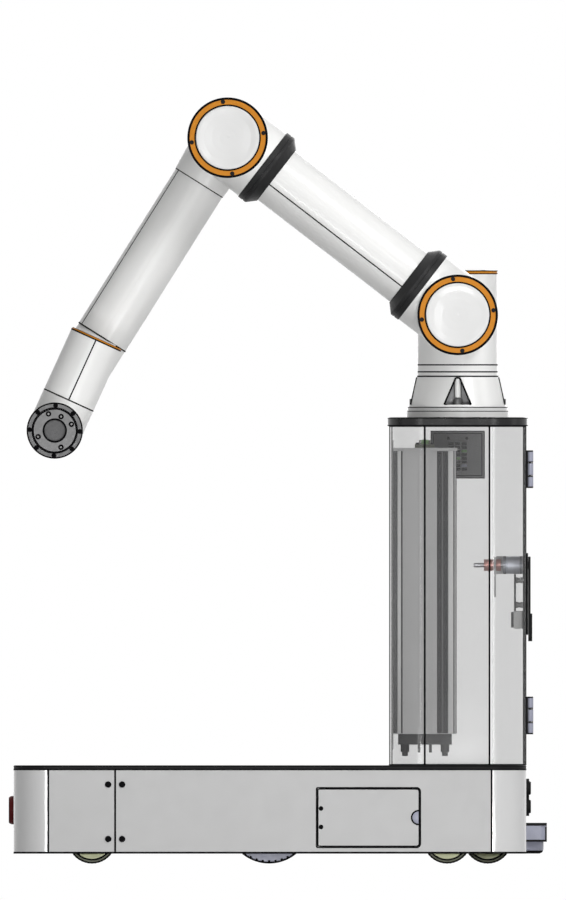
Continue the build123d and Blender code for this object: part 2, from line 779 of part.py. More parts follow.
save("lock_body", escutcheon, barrel, strap, *spacers, lock_block)

lever_back = plate_front + seat_gap
spindle = rod((barrel_front, lock_side, lock_level), lock_axis, spindle_radius, lever_back - barrel_front)
spindle += rod((barrel_front - shaft_length, lock_side, lock_level), lock_axis, shaft_radius, shaft_length)
nut_bore = shaft_radius + run_clearance


def lock_nut(front, thickness):
    hexagon = RegularPolygon(nut_radius, 6) - Circle(nut_bore)
    place = Plane(origin=(front, lock_side, lock_level), x_dir=(0, 1, 0), z_dir=lock_axis)
    return place.location * extrude(hexagon, thickness)


cam_front = cam_rear - cam_thickness
cam_length = frame_edge + cam_engagement - lock_side
cam = door_slab((cam_front, cam_rear), cam_width / 2,
                (lock_level - cam_length, lock_level + cam_width / 2), cam_corner)
cam -= rod((cam_front, lock_side, lock_level), lock_axis, nut_bore, cam_thickness)
counter_nut, front_nut, back_nut = nut_thicknesses
front_nut_start = cam_front - nut_space - front_nut
nuts = [lock_nut(front_nut_start - 2 * nut_space - counter_nut, counter_nut),
        lock_nut(front_nut_start, front_nut), lock_nut(cam_rear + nut_space, back_nut)]
save("lock_spindle", spindle, cam, *nuts)

lever_low = lock_level - lock_lever_length
lever_front = lever_back + lock_lever_thickness
lever = door_slab((lever_back, lever_front), lock_lever_width / 2, (lever_low, lock_level + lock_lever_rise),
                  lock_lever_corner)
lever += door_slab((lever_back, lever_front + lock_grip_rise), lock_lever_width / 2,
                   (lever_low, lever_low + lock_grip_length), lock_lever_corner)
save("lock_handle", lever)


# Cabinet contents: the arm's controller on the front wall, its terminals and a junction box

wall_inside = column_front + column_wall
case_front = wall_inside + controller_back_plate
case_back = wall_inside + controller_depth
case_half = column_side - controller_side_room
controller_bottom = deck_height + controller_rise
lid_top = column_top - controller_headroom
controller_top = lid_top - controller_lid
mount_half = flat_half - controller_back_plate


def controller_case():
    """A finned case on a back plate. Each side has a deep groove near the front cover."""
    case = block((case_front, case_back), (-case_half, case_half), (controller_bottom, controller_top))
    groove_end = case_back - controller_groove_setback
    groove = (groove_end - controller_groove_width, groove_end)
    middle = (groove[0] + groove[1]) / 2
    slit_starts = (case_front + 4.5, case_front + 11.0, case_back - 4.0)
    inner = case_half - controller_groove_depth
    for y in (-1, 1):
        case -= block(groove, sorted((y * inner, y * case_half)), (controller_bottom, controller_top))
        case += block((middle - controller_rib / 2, middle + controller_rib / 2),
                      sorted((y * inner, y * (case_half - 1))), (controller_bottom, controller_top))
        for start in slit_starts:
            case -= block((start, start + controller_slit), sorted((y * (case_half - controller_slit_depth),
                          y * case_half)), (controller_bottom, controller_top))
    lid = block((case_front, case_back + controller_lid_overhang),
                (-case_half - controller_lid_overhang, case_half + controller_lid_overhang),
                (controller_top, lid_top))
    back = block((wall_inside, case_front), (-mount_half, mount_half),
                 (controller_bottom - 2 * controller_back_rise, lid_top + controller_back_rise))
    return case + lid + back


save("controller_case", controller_case())

base_x = (case_front + controller_base_inset, case_back - controller_base_inset)
under_low = controller_bottom - controller_base_height
foot_x = (case_front + controller_foot_inset, case_back - controller_foot_inset)
connector_x = (case_front + terminal_front + 6, case_front + terminal_front + 22)
controller_base = block(base_x, (-case_half + 4, case_half - 4), (under_low, controller_bottom))
for x in foot_x:
    for y in (-case_half + controller_foot_inset, case_half - controller_foot_inset):
        controller_base += rod((x, y, under_low - controller_foot_height), (0, 0, 1), controller_foot_radius,
                               controller_foot_height)
        controller_base += rod((x, y, under_low - controller_foot_head), (0, 0, 1), controller_foot_radius + 2,
                               controller_foot_head)
for x in connector_x:
    for y in (-connector_spacing, 0, connector_spacing):
        controller_base += block((x - connector_width / 2, x + connector_width / 2),
                                 (y - connector_length / 2, y + connector_length / 2),
                                 (under_low - connector_reach, under_low))
save("controller_base", controller_base)

terminal_x = (case_front + terminal_front, case_front + terminal_front + terminal_depth)
terminal = block(terminal_x, (-terminal_half, terminal_half), (lid_top, lid_top + terminal_base))
plug_x = (terminal_x[0] + terminal_plug_inset, terminal_x[1] - terminal_plug_inset)
plug_half = terminal_half - terminal_plug_inset / 2
terminal += block(plug_x, (-plug_half, plug_half), (lid_top + terminal_base, lid_top + terminal_height))
for index in range(terminal_count):
    y = (index - (terminal_count - 1) / 2) * terminal_pitch
    terminal -= block((plug_x[0], plug_x[0] + terminal_opening), (y - terminal_opening / 2, y + terminal_opening / 2),
                      (lid_top + terminal_base + 1, lid_top + terminal_height))
save("terminal_block", terminal)

box_back = column_side - column_wall
box_front = box_back - junction_depth
box_x = (arm_x - junction_size / 2, arm_x + junction_size / 2)
box_top = column_top - junction_headroom
box_z = (box_top - junction_height, box_top)
module_half = junction_module_width / 2
junction = side_slab(box_x, box_z, junction_corner, (box_front, box_back))
junction -= side_slab((box_x[0] + junction_rim, box_x[1] - junction_rim),
                      (box_z[0] + junction_rim, box_z[1] - junction_rim), junction_rim / 2,
                      (box_front, box_front + junction_recess))
junction += side_slab((arm_x - module_half, arm_x + module_half),
                      (box_z[0] + junction_module_low, box_z[1] - junction_module_high), junction_recess,
                      (box_front - junction_module_rise, box_front + junction_recess))
save("junction_box", junction)


# Arm foot: a cone with four pockets, each with a bolt and a round rib

def arm_foot():
    low = foot_level
    foot = turned((arm_x, 0, low), (0, 0, 1), [
        (0, 0), (foot_radius, 0), (foot_radius, 7.6), (foot_radius - 1.2, 8.4), (foot_radius - 1.2, 13.2),
        (foot_radius - 2.4, 14), (foot_radius - 3.1, 17), (shoulder_radius + 0.7, 57), (shoulder_radius, 58),
        (shoulder_radius, foot_height), (0, foot_height)])
    floor = low + foot_flange
    rib_x = pocket_depth + pocket_rib_set_in
    outline = [(pocket_depth, -pocket_low_half, floor), (pocket_depth, pocket_low_half, floor),
               (pocket_depth, pocket_high_half, floor + pocket_height),
               (pocket_depth, -pocket_high_half, floor + pocket_height)]
    wedge = extrude(make_face(Polyline(*outline, close=True)), foot_radius - pocket_depth, dir=(1, 0, 0))
    hole = rod((foot_bolt_circle, 0, low), (0, 0, 1), foot_bolt_radius + seat_gap, foot_flange)
    rib_top = floor + pocket_height - pocket_high_half
    rib = rod((rib_x, 0, floor + pocket_rib_low), (0, 0, 1), pocket_rib_radius, rib_top - floor - pocket_rib_low)
    rib += Pos(rib_x, 0, rib_top) * Sphere(pocket_rib_radius)
    for turn in foot_turns:
        place = Pos(arm_x, 0, 0) * Rot(0, 0, turn)
        foot -= place * wedge
        foot -= place * hole
        foot += place * rib
    return foot


save("arm_foot", arm_foot())


def screw(start, direction, head_radius, head, shank_radius, shank):
    """A screw seated at a point, with its head towards the direction."""
    back = tuple(-c for c in direction)
    bevel = min(0.6, head / 3)
    top = turned(start, direction, [(0, 0), (head_radius, 0), (head_radius, head - bevel),
                                    (head_radius - bevel, head), (0, head)])
    return top + rod(start, back, shank_radius, shank)


screws = []
for y in (-1, 1):
    for sx in screw_x:
        for level in case_screw_levels:
            screws.append(screw((sx, y * side, level), (0, y, 0), case_screw_radius, case_screw_head,
                                case_screw_shank, 2 * shell_wall))
for turn in foot_turns:
    place = Pos(arm_x, 0, foot_level + foot_flange) * Rot(0, 0, turn)
    screws.append(place * screw((foot_bolt_circle, 0, 0), (0, 0, 1), foot_bolt_head_radius, foot_bolt_head,
                                foot_bolt_radius, foot_bolt_length))
save("case_screws", *screws)


# Arm

def cap_ring(radius, inner, thickness):
    """A ring with a bevelled edge, at the origin along Z."""
    return turned((0, 0, 0), (0, 0, 1), [
        (inner, 0), (radius, 0), (radius, thickness - 1.6), (radius - 1.4, thickness), (inner, thickness)])


def cap_lid(radius, thickness):
    """A dished round cover, at the origin along Z."""
    return turned((0, 0, 0), (0, 0, 1), [
        (0, 0), (radius, 0), (radius, thickness - 0.8), (radius - 0.8, thickness), (radius - 4, thickness),
        (radius * 0.75, thickness * 0.8), (radius * 0.5, thickness * 0.6), (radius * 0.25, thickness * 0.48),
        (0, thickness * 0.44)])


up = foot_level + foot_height + seat_gap
branch_end = -(upper_arm_plane + joint_depth / 2 + seat_gap)
shoulder = turned((arm_x, 0, up), (0, 0, 1), [
    (0, 0), (shoulder_radius, 0), (shoulder_radius, 9.4), (shoulder_radius - 0.8, 9.8),
    (shoulder_radius - 0.8, 10.8), (shoulder_radius, 11.2), (shoulder_radius, shoulder_top - up),
    (0, shoulder_top - up)])
shoulder += rod((arm_x, 0, shoulder_z), (0, -1, 0), joint_radius - 1.5, branch_end)
save("shoulder_housing", shoulder)
shoulder_cap_place = Pos(arm_x, 0, shoulder_top)
save("shoulder_cap_ring", shoulder_cap_place * cap_ring(cap_ring_radius - 0.6, cap_lid_radius + 1.5,
                                                       cap_ring_thickness))
save("shoulder_lid", shoulder_cap_place * cap_lid(cap_lid_radius, cap_ring_thickness + 1))

upper = on_arm(arm_x, shoulder_z, upper_arm_plane, upper_arm_angle)
half_joint = joint_depth / 2


def joint_housing(at_x, towards):
    """A T-shaped joint: a drum across the arm and a stub along it."""
    drum = turned((at_x, 0, -half_joint), (0, 0, 1), [
        (0, 0), (joint_radius - 2, 0), (joint_radius, 2), (joint_radius, joint_depth - 9),
        (cap_ring_radius, joint_depth - 7), (cap_ring_radius, joint_depth), (0, joint_depth)])
    return drum + rod((at_x, 0, 0), (towards, 0, 0), joint_radius, joint_collar_start)


def arm_collar(at_x, towards):
    """A bevelled collar between a joint stub and the arm's tube."""
    start = (at_x + towards * joint_collar_start, 0, 0)
    inner = upper_tube_radius + run_clearance
    return turned(start, (towards, 0, 0), [
        (inner, 0), (collar_radius - 1, 0), (collar_radius, 1), (collar_radius, 7.2),
        (collar_radius - 0.8, 7.6), (collar_radius - 0.8, 8.6), (collar_radius, 9), (collar_radius, collar_land),
        (collar_radius - 0.9, collar_land + 1.3), (collar_mouth + 0.9, collar_length - 1.3),
        (collar_mouth, collar_length), (inner, collar_length)])


tube_start = joint_collar_start
tube_length = upper_arm_length - 2 * tube_start
save("shoulder_joint_housing", upper * joint_housing(0, 1))
save("elbow_joint_housing", upper * joint_housing(upper_arm_length, -1))
save("upper_arm_tube", upper * rod((tube_start, 0, 0), (1, 0, 0), upper_tube_radius, tube_length))
save("upper_arm_collars", upper * arm_collar(0, 1), upper * arm_collar(upper_arm_length, -1))
cap_places = [upper * Pos(x, 0, half_joint) for x in (0, upper_arm_length)]
save("upper_arm_cap_rings", *[p * cap_ring(cap_ring_radius, cap_lid_radius + 1.5, cap_ring_thickness)
                              for p in cap_places])
save("upper_arm_lids", *[p * cap_lid(cap_lid_radius, cap_ring_thickness + 1) for p in cap_places])

fore = on_arm(elbow_x, elbow_z, forearm_plane, forearm_angle)
elbow_face = -(upper_arm_plane + half_joint + seat_gap) + forearm_plane
elbow_back = -(forearm_neck_radius - 2)
elbow_drum = turned((0, 0, elbow_back), (0, 0, 1), [
    (0, 0), (joint_radius - 13, 0), (joint_radius - 6, 3), (joint_radius - 3, 10),
    (joint_radius - 1.5, 20), (joint_radius - 1.5, elbow_face - elbow_back), (0, elbow_face - elbow_back)])
neck = turned((0, 0, 0), (1, 0, 0), [
    (0, 0), (forearm_neck_radius + 1, 0), (forearm_neck_radius, 30), (forearm_tube_radius + 1, forearm_neck_length - 1),
    (forearm_tube_radius, forearm_neck_length), (0, forearm_neck_length)])
save("forearm_elbow", fore * (elbow_drum + neck))
save("forearm_tube", fore * rod((forearm_neck_length, 0, 0), (1, 0, 0), forearm_tube_radius,
                                forearm_tube_end - forearm_neck_length))
end_drum = rod((forearm_length, 0, -wrist_back), (0, 0, 1), wrist_radius, wrist_face + wrist_back)
end_stub = rod((forearm_tube_end, 0, 0), (1, 0, 0), wrist_radius, forearm_stub_length)
save("forearm_end_housing", fore * (end_drum + end_stub))
fore_cap = fore * Pos(forearm_length, 0, -wrist_back) * Rot(180, 0, 0)
save("forearm_cap", fore_cap * cap_ring(wrist_radius - 0.5, wrist_radius - 9, 3.5),
     fore_cap * cap_lid(wrist_radius - 9.5, 4.5))

wrist = on_arm(wrist_x, wrist_z, wrist_plane, wrist_angle)
fore_output = forearm_plane - wrist_face - seat_gap
split = wrist_offset - wrist_split
cap_end = -(wrist_radius - 0.3)
one = rod((cap_end, 0, 0), (1, 0, 0), wrist_radius, split - cap_end)
one += rod((0, 0, 0), (0, 0, -1), wrist_radius - 2 * seat_gap, fore_output - wrist_plane)
save("wrist_one_housing", wrist * one)
one_cap = wrist * Pos(cap_end, 0, 0) * Rot(0, -90, 0)
save("wrist_one_cap", one_cap * cap_ring(wrist_radius - 0.3, wrist_radius - 9, wrist_cap_thickness - 2),
     one_cap * cap_lid(wrist_radius - 9.5, wrist_cap_thickness))

ring_back = flange_offset - flange_ring_set_back
ring_front = ring_back + flange_ring_thickness
two = rod((split + seat_gap, 0, 0), (1, 0, 0), wrist_radius, wrist_split - seat_gap)
two += turned((wrist_offset, 0, -wrist_two_back), (0, 0, 1), [
    (0, 0), (wrist_radius - 5, 0), (wrist_radius, 5), (wrist_radius, ring_back + wrist_two_back),
    (0, ring_back + wrist_two_back)])
spigot = flange_disc_radius - flange_spigot_step
two -= rod((wrist_offset, 0, ring_back - spigot_bore_depth), (0, 0, 1), spigot + run_clearance,
           spigot_bore_depth)
save("wrist_two_housing", wrist * two)

ring_inner = flange_disc_radius + seat_gap
flange_ring = turned((wrist_offset, 0, ring_back), (0, 0, 1), [
    (ring_inner, 0), (flange_ring_radius, 0), (flange_ring_radius, flange_ring_thickness - 2),
    (flange_ring_radius - 2, flange_ring_thickness), (ring_inner, flange_ring_thickness)])
for index in range(flange_ring_screws):
    angle = radians((index + 0.5) * 360 / flange_ring_screws)
    spot = (wrist_offset + flange_ring_circle * cos(angle), flange_ring_circle * sin(angle), ring_front)
    flange_ring -= rod(spot, (0, 0, -1), flange_ring_screw_radius, flange_ring_screw_depth)
save("flange_ring", wrist * flange_ring)

disc_back = ring_back + seat_gap
disc_height = flange_offset - disc_back
pilot_floor = disc_height - flange_pilot_depth
spigot_depth = spigot_bore_depth - 1
disc = turned((wrist_offset, 0, disc_back), (0, 0, 1), [
    (0, -spigot_depth), (spigot, -spigot_depth), (spigot, 0), (flange_disc_radius, 0),
    (flange_disc_radius, disc_height), (flange_pilot_radius, disc_height), (flange_pilot_radius, pilot_floor),
    (0, pilot_floor)])
for index in range(4):
    angle = radians(45 + 90 * index)
    spot = (wrist_offset + flange_pcd / 2 * cos(angle), flange_pcd / 2 * sin(angle), flange_offset)
    disc -= rod(spot, (0, 0, -1), flange_thread_radius, flange_thread_depth)
disc -= rod((wrist_offset - flange_dowel_circle, 0, flange_offset), (0, 0, -1), flange_dowel_radius,
            flange_dowel_depth)
save("tool_flange", wrist * disc)
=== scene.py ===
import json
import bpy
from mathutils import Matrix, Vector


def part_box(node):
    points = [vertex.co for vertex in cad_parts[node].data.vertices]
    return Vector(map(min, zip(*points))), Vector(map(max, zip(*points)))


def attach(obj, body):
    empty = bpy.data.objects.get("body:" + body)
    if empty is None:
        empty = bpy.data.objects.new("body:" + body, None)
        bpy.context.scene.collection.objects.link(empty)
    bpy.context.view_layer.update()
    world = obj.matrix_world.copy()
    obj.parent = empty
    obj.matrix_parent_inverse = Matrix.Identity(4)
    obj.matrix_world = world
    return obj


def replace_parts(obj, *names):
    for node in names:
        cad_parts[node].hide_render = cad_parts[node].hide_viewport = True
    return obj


bl_info = {
    "name": "Mobile robot dressing",
    "version": (1, 0, 0),
    "blender": (4, 5, 0),
    "location": "View3D > Sidebar > Robot",
    "description": "Finishes, seals, screws and fittings of a wheeled robot with an arm",
    "category": "Object",
}

from math import atan2, cos, pi, radians, sin

import bpy
from mathutils import Matrix, Vector

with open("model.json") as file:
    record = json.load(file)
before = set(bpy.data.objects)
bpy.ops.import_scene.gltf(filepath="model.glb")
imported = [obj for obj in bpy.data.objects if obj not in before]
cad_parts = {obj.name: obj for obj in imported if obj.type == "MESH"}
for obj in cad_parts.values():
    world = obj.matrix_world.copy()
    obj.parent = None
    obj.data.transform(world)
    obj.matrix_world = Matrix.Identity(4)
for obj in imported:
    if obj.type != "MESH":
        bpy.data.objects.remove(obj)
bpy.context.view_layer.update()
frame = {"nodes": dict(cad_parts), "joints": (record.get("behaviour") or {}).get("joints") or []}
nodes = frame["nodes"]
joints = {joint["name"]: joint for joint in frame["joints"]}

MM = 0.001


def mm(*sizes):
    """Sizes in millimetres, as metres."""
    return tuple(size * MM for size in sizes)


def outline(*points):
    """Points of a profile in millimetres, as metres."""
    return [mm(*point) for point in points]


def span(anchor, start, end):
    """Limits in millimetres from an anchor, which is in metres."""
    return anchor + start * MM, anchor + end * MM


def spans(anchor, *pairs):
    return [span(anchor, *pair) for pair in pairs]


def placed(spot, axis, degrees):
    """A place at a spot, turned about an axis."""
    return Matrix.Translation(spot) @ Matrix.Rotation(radians(degrees), 4, axis)


# Four directions between the axes, in degrees
QUARTERS = (45, 135, 225, 315)

# Edges sharper than these angles are bevelled, and shaded as edges.
EDGE_ANGLE = radians(40)
SMOOTH_ANGLE = radians(35)

# How brightly the floor glows where it is plainly seen, and how wide the stage is
FLOOR_GLOW = 0.36
FLOOR_SIZE = 14

# The photograph is a straight side view, which sets the camera's frame.
PHOTO_SIZE = (566, 900)
PHOTO_SCALE = 1.405 * MM
PHOTO_ORIGIN = (277.75, 863.5)


# Places read from the frame

def joint_place(name):
    return Vector(joints[name]["pos_m"])


def arm_matrix(start, end, face_y):
    """A place on the arm: X along the link, Z out of its left face."""
    along = Vector((end.x - start.x, 0, end.z - start.z)).normalized()
    out = Vector((0, -1, 0))
    across = out.cross(along)
    turn = Matrix((along, across, out)).transposed().to_4x4()
    return Matrix.Translation((start.x, face_y, start.z)) @ turn


shoulder_axis = joint_place("shoulder_bend")
elbow_axis = joint_place("elbow_bend")
wrist_axis = joint_place("wrist_bend")
flange_axis = joint_place("flange_turn")
arm_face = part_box("upper_arm_cap_rings")[0].y
tool_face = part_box("tool_flange")[0].y


def tube_middle(name):
    low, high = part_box(name)
    return (low.y + high.y) / 2, (high.y - low.y) / 2


upper_middle, upper_radius = tube_middle("upper_arm_tube")
fore_middle, fore_radius = tube_middle("forearm_tube")
wrist_middle = joint_place("wrist_turn").y
wrist_low, wrist_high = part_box("wrist_one_cap")
wrist_radius = (wrist_high.y - wrist_low.y) / 2
at_shoulder = arm_matrix(shoulder_axis, elbow_axis, arm_face)
at_elbow = arm_matrix(elbow_axis, shoulder_axis, arm_face)
at_flange = arm_matrix(flange_axis, wrist_axis, tool_face)
along_upper = arm_matrix(shoulder_axis, elbow_axis, upper_middle)
along_fore = arm_matrix(elbow_axis, wrist_axis, fore_middle)
along_wrist = arm_matrix(wrist_axis, flange_axis, wrist_middle)


def reach(start, end):
    """The distance between two joints in the side view."""
    return Vector((end.x - start.x, end.z - start.z)).length


upper_length = reach(shoulder_axis, elbow_axis)
fore_length = reach(elbow_axis, wrist_axis)


# Stands a flat piece up: its X, Y and Z become Y, Z and X.
STANDING = Matrix(((0, 0, 1, 0), (1, 0, 0, 0), (0, 1, 0, 0), (0, 0, 0, 1)))


# Sizes and colours that a user would change

class RobotColours(bpy.types.PropertyGroup):
    """Colours of the robot's finishes."""

    def colour(label, text, value):
        return bpy.props.FloatVectorProperty(
            name=label, description=text, default=value, size=3, subtype="COLOR", min=0, max=1)

    arm: colour("Arm", "Coated housings and tubes of the arm", (0.82, 0.82, 0.81))
    # The lids' colour is the arm's white made darker: painted shade of their flat faces.
    lids: colour("Lids", "Round covers of the joints", (0.72, 0.72, 0.715))
    rings: colour("Rings", "Coloured rings on the joints", (0.60, 0.225, 0.018))
    collars: colour("Collars", "Soft collars between joints and tubes", (0.015, 0.015, 0.0155))
    panels: colour("Panels", "Flat side panels of the base", (0.47, 0.47, 0.47))
    shells: colour("Shells", "Rounded end shells of the base", (0.58, 0.58, 0.58))
    black: colour("Black metal", "Rear frame, door and screws", (0.010, 0.010, 0.0105))
    plates: colour("Black plates", "Deck and the column's top plate", (0.008, 0.008, 0.0085))
    clear: colour("Clear panels", "See-through walls of the column", (0.20, 0.20, 0.20))
    blue_grey: colour("Blue grey", "Scanner, hinges and drive wheels", (0.31, 0.32, 0.40))
    castor: colour("Castors", "Castor wheels", (0.86, 0.90, 0.52))
    stop: colour("Stop button", "Head of the stop button", (0.11, 0.008, 0.009))
    copper: colour("Nuts", "Nuts of the lock", (0.74, 0.40, 0.36))
    terminals: colour("Terminals", "Plug strip of the controller", (0.16, 0.34, 0.10))
    controller: colour("Controller", "Coated case of the arm's controller", (0.44, 0.44, 0.44))


class RobotSizes(bpy.types.PropertyGroup):
    """Sizes of the fittings, in metres."""

    def length(label, text, value):
        return bpy.props.FloatProperty(
            name=label, description=text, default=value * MM, min=0, unit="LENGTH")

    seal_stand: length("Seal height", "How far a strip stands out of the panels", 0.35)
    ring_screw: length("Ring screw", "Radius of a screw head in a joint's ring", 3.1)
    ring_circle: length("Ring screw circle", "Radius of the circle of ring screws", 50.8)
    flange_screw: length("Flange screw", "Radius of a screw head in the flange ring", 3.5)
    flange_circle: length("Flange screw circle", "Radius of the circle of flange screws", 35.2)
    hatch_seal: length("Hatch seal", "Width of the hatch's edge seal", 2.8)
    groove: length("Split line", "Width of the dark line where two halves meet", 1.9)


# Materials

def set_inputs(node, values):
    """Sets a node's inputs by name or number, or links them where a value is a node's output."""
    for key, value in values.items():
        if isinstance(value, bpy.types.NodeSocket):
            node.id_data.links.new(value, node.inputs[key])
        else:
            node.inputs[key].default_value = value


def new_node(tree, kind, inputs, **settings):
    node = tree.nodes.new("ShaderNode" + kind)
    for name, value in settings.items():
        setattr(node, name, value)
    set_inputs(node, inputs)
    return node


def blend(tree, factor, first, second):
    """Mixes two colours, each one given or taken from a node's output."""
    mix = new_node(tree, "Mix", {"Factor": factor, "A": first, "B": second}, data_type="RGBA")
    return mix.outputs["Result"]


class Finish:
    """A node material around one Principled shader, with patterns on Object coordinates."""

    def __init__(self, name, colour, roughness, metallic=0.0):
        self.material = bpy.data.materials.new(name)
        self.material.use_nodes = True
        self.material.diffuse_color = (*colour, 1)
        self.tree = self.material.node_tree
        self.shader = self.tree.nodes["Principled BSDF"]
        self.colour = colour
        self.roughness = roughness
        self.set(Base_Color=(*colour, 1), Roughness=roughness, Metallic=metallic)
        self.place = self.tree.nodes.new("ShaderNodeTexCoord").outputs["Object"]

    def set(self, **values):
        """Sets or links inputs of the shader, with underscores for spaces."""
        set_inputs(self.shader, {name.replace("_", " "): value for name, value in values.items()})
        return self

    def painted(self):
        """The output that the shader's colour comes from."""
        return self.shader.inputs["Base Color"].links[0].from_socket

    def shade(self, factor):
        """The finish's colour, darker or lighter by a factor."""
        return (*[min(c * factor, 1) for c in self.colour], 1)

    def noise(self, size, detail, stretch=(1, 1, 1)):
        """A noise pattern whose grains are about this many metres across."""
        mapping = new_node(self.tree, "Mapping", {"Scale": stretch, "Vector": self.place})
        noise = new_node(self.tree, "TexNoise", {"Scale": 1 / size, "Detail": detail,
                                                 "Vector": mapping.outputs["Vector"]})
        return noise.outputs["Fac"]

    def spread(self, pattern, low, high, start=0.3, end=0.7):
        """The pattern's values between start and end, stretched over a range."""
        ramp = new_node(self.tree, "MapRange", {"Value": pattern, "From Min": start, "From Max": end,
                                                "To Min": low, "To Max": high})
        return ramp.outputs["Result"]

    def plated_front(self, x, colour):
        """Gives what lies in front of a plane across X a colour of its own."""
        split = new_node(self.tree, "SeparateXYZ", {"Vector": self.place})
        test = new_node(self.tree, "Math", {0: split.outputs["X"], 1: x}, operation="LESS_THAN")
        return self.set(Base_Color=blend(self.tree, test.outputs[0], self.painted(), (*colour, 1)))

    def denser_edge_painted_shade(self, alpha, edge, gloss):
        """Lets a clear sheet look dense and dull where it turns away, as a thick tinted one does, and
        darkens its colour there as painted shade along its outline.
        """
        facing = new_node(self.tree, "LayerWeight", {"Blend": 0.5}).outputs["Facing"]
        turned = (0.7, 0.8)
        # Darkening the colour where the sheet turns away is painted shade along the outline.
        dark = self.spread(facing, 0, 1, *turned)
        return self.set(Alpha=self.spread(facing, alpha, edge, *turned),
                        Specular_IOR_Level=self.spread(facing, gloss, 0, *turned),
                        Base_Color=blend(self.tree, dark, self.shade(1), self.shade(0.05)))

    def mottle(self, pattern, darker, lighter):
        """Lets the colour vary a little with the pattern."""
        tone = self.spread(pattern, 0, 1)
        return self.set(Base_Color=blend(self.tree, tone, self.shade(darker), self.shade(lighter)))

    def polish(self, pattern, change):
        """Lets the roughness vary a little with the pattern."""
        low, high = self.roughness - change, self.roughness + change
        return self.set(Roughness=self.spread(pattern, low, high))

    def relief(self, pattern, depth, strength):
        """Adds a bump of this depth in metres."""
        bump = new_node(self.tree, "Bump", {"Height": pattern, "Distance": depth,
                                            "Strength": strength})
        return self.set(Normal=bump.outputs["Normal"])


def coated_finish(name, colour, roughness=0.38, grain=0.0009):
    """Powder or wet coating: fine orange peel, and a faint unevenness in tone."""
    finish = Finish(name, colour, roughness)
    finish.mottle(finish.noise(0.11, 3), 0.975, 1.015)
    finish.polish(finish.noise(0.02, 3), 0.05)
    finish.relief(finish.noise(grain, 1), 0.00002, 0.35)
    return finish


def moulded_finish(name, colour, roughness=0.5):
    """Moulded plastic or rubber with a fine spark-eroded grain."""
    finish = Finish(name, colour, roughness)
    finish.mottle(finish.noise(0.035, 3), 0.9, 1.1)
    finish.polish(finish.noise(0.006, 4), 0.07)
    finish.relief(finish.noise(0.0006, 2), 0.00003, 0.5)
    return finish


def metal_finish(name, colour, roughness=0.32, along=(1, 1, 14)):
    """Machined or plated metal with fine tool marks across one direction."""
    finish = Finish(name, colour, roughness, metallic=0.85)
    finish.mottle(finish.noise(0.02, 2), 0.92, 1.05)
    finish.polish(finish.noise(0.003, 3, along), 0.08)
    finish.relief(finish.noise(0.0012, 2, along), 0.00002, 0.4)
    return finish


def clear_finish(name, colour):
    """Smoke-tinted polycarbonate, whose colour darkens towards its outline as painted shade."""
    finish = Finish(name, colour, 0.11)
    finish.polish(finish.noise(0.05, 2), 0.02)
    finish.denser_edge_painted_shade(0.14, 0.9, 0.8)
    return finish


def make_finishes(tint):
    """Every finish of the robot, by name."""
    across = (1, 14, 1)
    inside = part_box("rear_door")[0].x - 0.5 * MM
    made = {
        "arm": coated_finish("arm coating", tint.arm, 0.36).set(Coat_Weight=0.25, Coat_Roughness=0.12),
        # The lid coating is the arm coating with a darker colour, which is painted shade.
        "lid": coated_finish("lid coating", tint.lids, 0.36).set(Coat_Weight=0.25, Coat_Roughness=0.12),
        "ring": coated_finish("ring coating", tint.rings, 0.42, 0.0007).set(Specular_IOR_Level=0.12),
        "collar": moulded_finish("collar rubber", tint.collars, 0.45).set(Specular_IOR_Level=0.15),
        "panel": coated_finish("panel coating", tint.panels, 0.5, 0.0006),
        "shell": coated_finish("shell coating", tint.shells, 0.32)
                 .set(Coat_Weight=0.9, Coat_Roughness=0.06),
        "black": coated_finish("black coating", tint.black, 0.5, 0.0006).set(Specular_IOR_Level=0.08),
        "rear": coated_finish("rear frame coating", tint.black, 0.5, 0.0006)
                .set(Specular_IOR_Level=0.08).plated_front(inside, (0.8, 0.8, 0.8)),
        "plate": coated_finish("plate coating", tint.plates, 0.25, 0.002).set(Specular_IOR_Level=0.3),
        "seal": moulded_finish("seal rubber", (0.003, 0.003, 0.0035), 0.8).set(Specular_IOR_Level=0.05),
        "dark": moulded_finish("dark plastic", (0.03, 0.03, 0.032), 0.55).set(Specular_IOR_Level=0.2),
        # This plastic also makes the foot pockets' dark back plates, which are painted shade.
        "box": moulded_finish("junction box plastic", (0.24, 0.24, 0.245), 0.5),
        "trim": coated_finish("dark trim", (0.075, 0.075, 0.078), 0.5),
        "steel": metal_finish("bright steel", (0.5, 0.5, 0.52), 0.34),
        "zinc": metal_finish("zinc", (0.66, 0.68, 0.75), 0.45).set(Metallic=0.4),
        "copper": metal_finish("copper", tint.copper, 0.35),
        "blue": moulded_finish("blue grey plastic", tint.blue_grey, 0.42),
        "hinge": coated_finish("hinge coating", tint.blue_grey, 0.4),
        "flange": metal_finish("flange", (0.088, 0.088, 0.089), 0.42, across),
        "disc": metal_finish("flange disc", (0.105, 0.105, 0.106), 0.42, across),
        "bore": metal_finish("pilot bore", (0.058, 0.058, 0.059), 0.42, across),
        "castor": moulded_finish("castor", tint.castor, 0.45),
        # Olive is the terminal block's own colour, and on the castors the painted shade of the tyres'
        # sides.
        "olive": moulded_finish("olive plastic", (0.13, 0.14, 0.085), 0.5),
        "case": coated_finish("controller coating", tint.controller, 0.45),
        "terminal": moulded_finish("terminal plastic", tint.terminals, 0.4),
        "stop": moulded_finish("stop button plastic", tint.stop, 0.5).set(Specular_IOR_Level=0.12),
        # A lighter copy of the controller's coating, for its painted highlight strips.
        "light": coated_finish("light coating", (0.6, 0.6, 0.6), 0.4),
        "pale": coated_finish("pale coating", (0.95, 0.95, 0.94), 0.4),
        "inner": coated_finish("inner steel", (0.16, 0.16, 0.165), 0.5),
        "floor": coated_finish("cabinet floor", (0.45, 0.45, 0.45), 0.5),
        "clear": clear_finish("clear wall", tint.clear),
    }
    return {key: finish.material for key, finish in made.items()}


finishes = {}
CORNERS = ("front_left", "front_right", "rear_left", "rear_right")

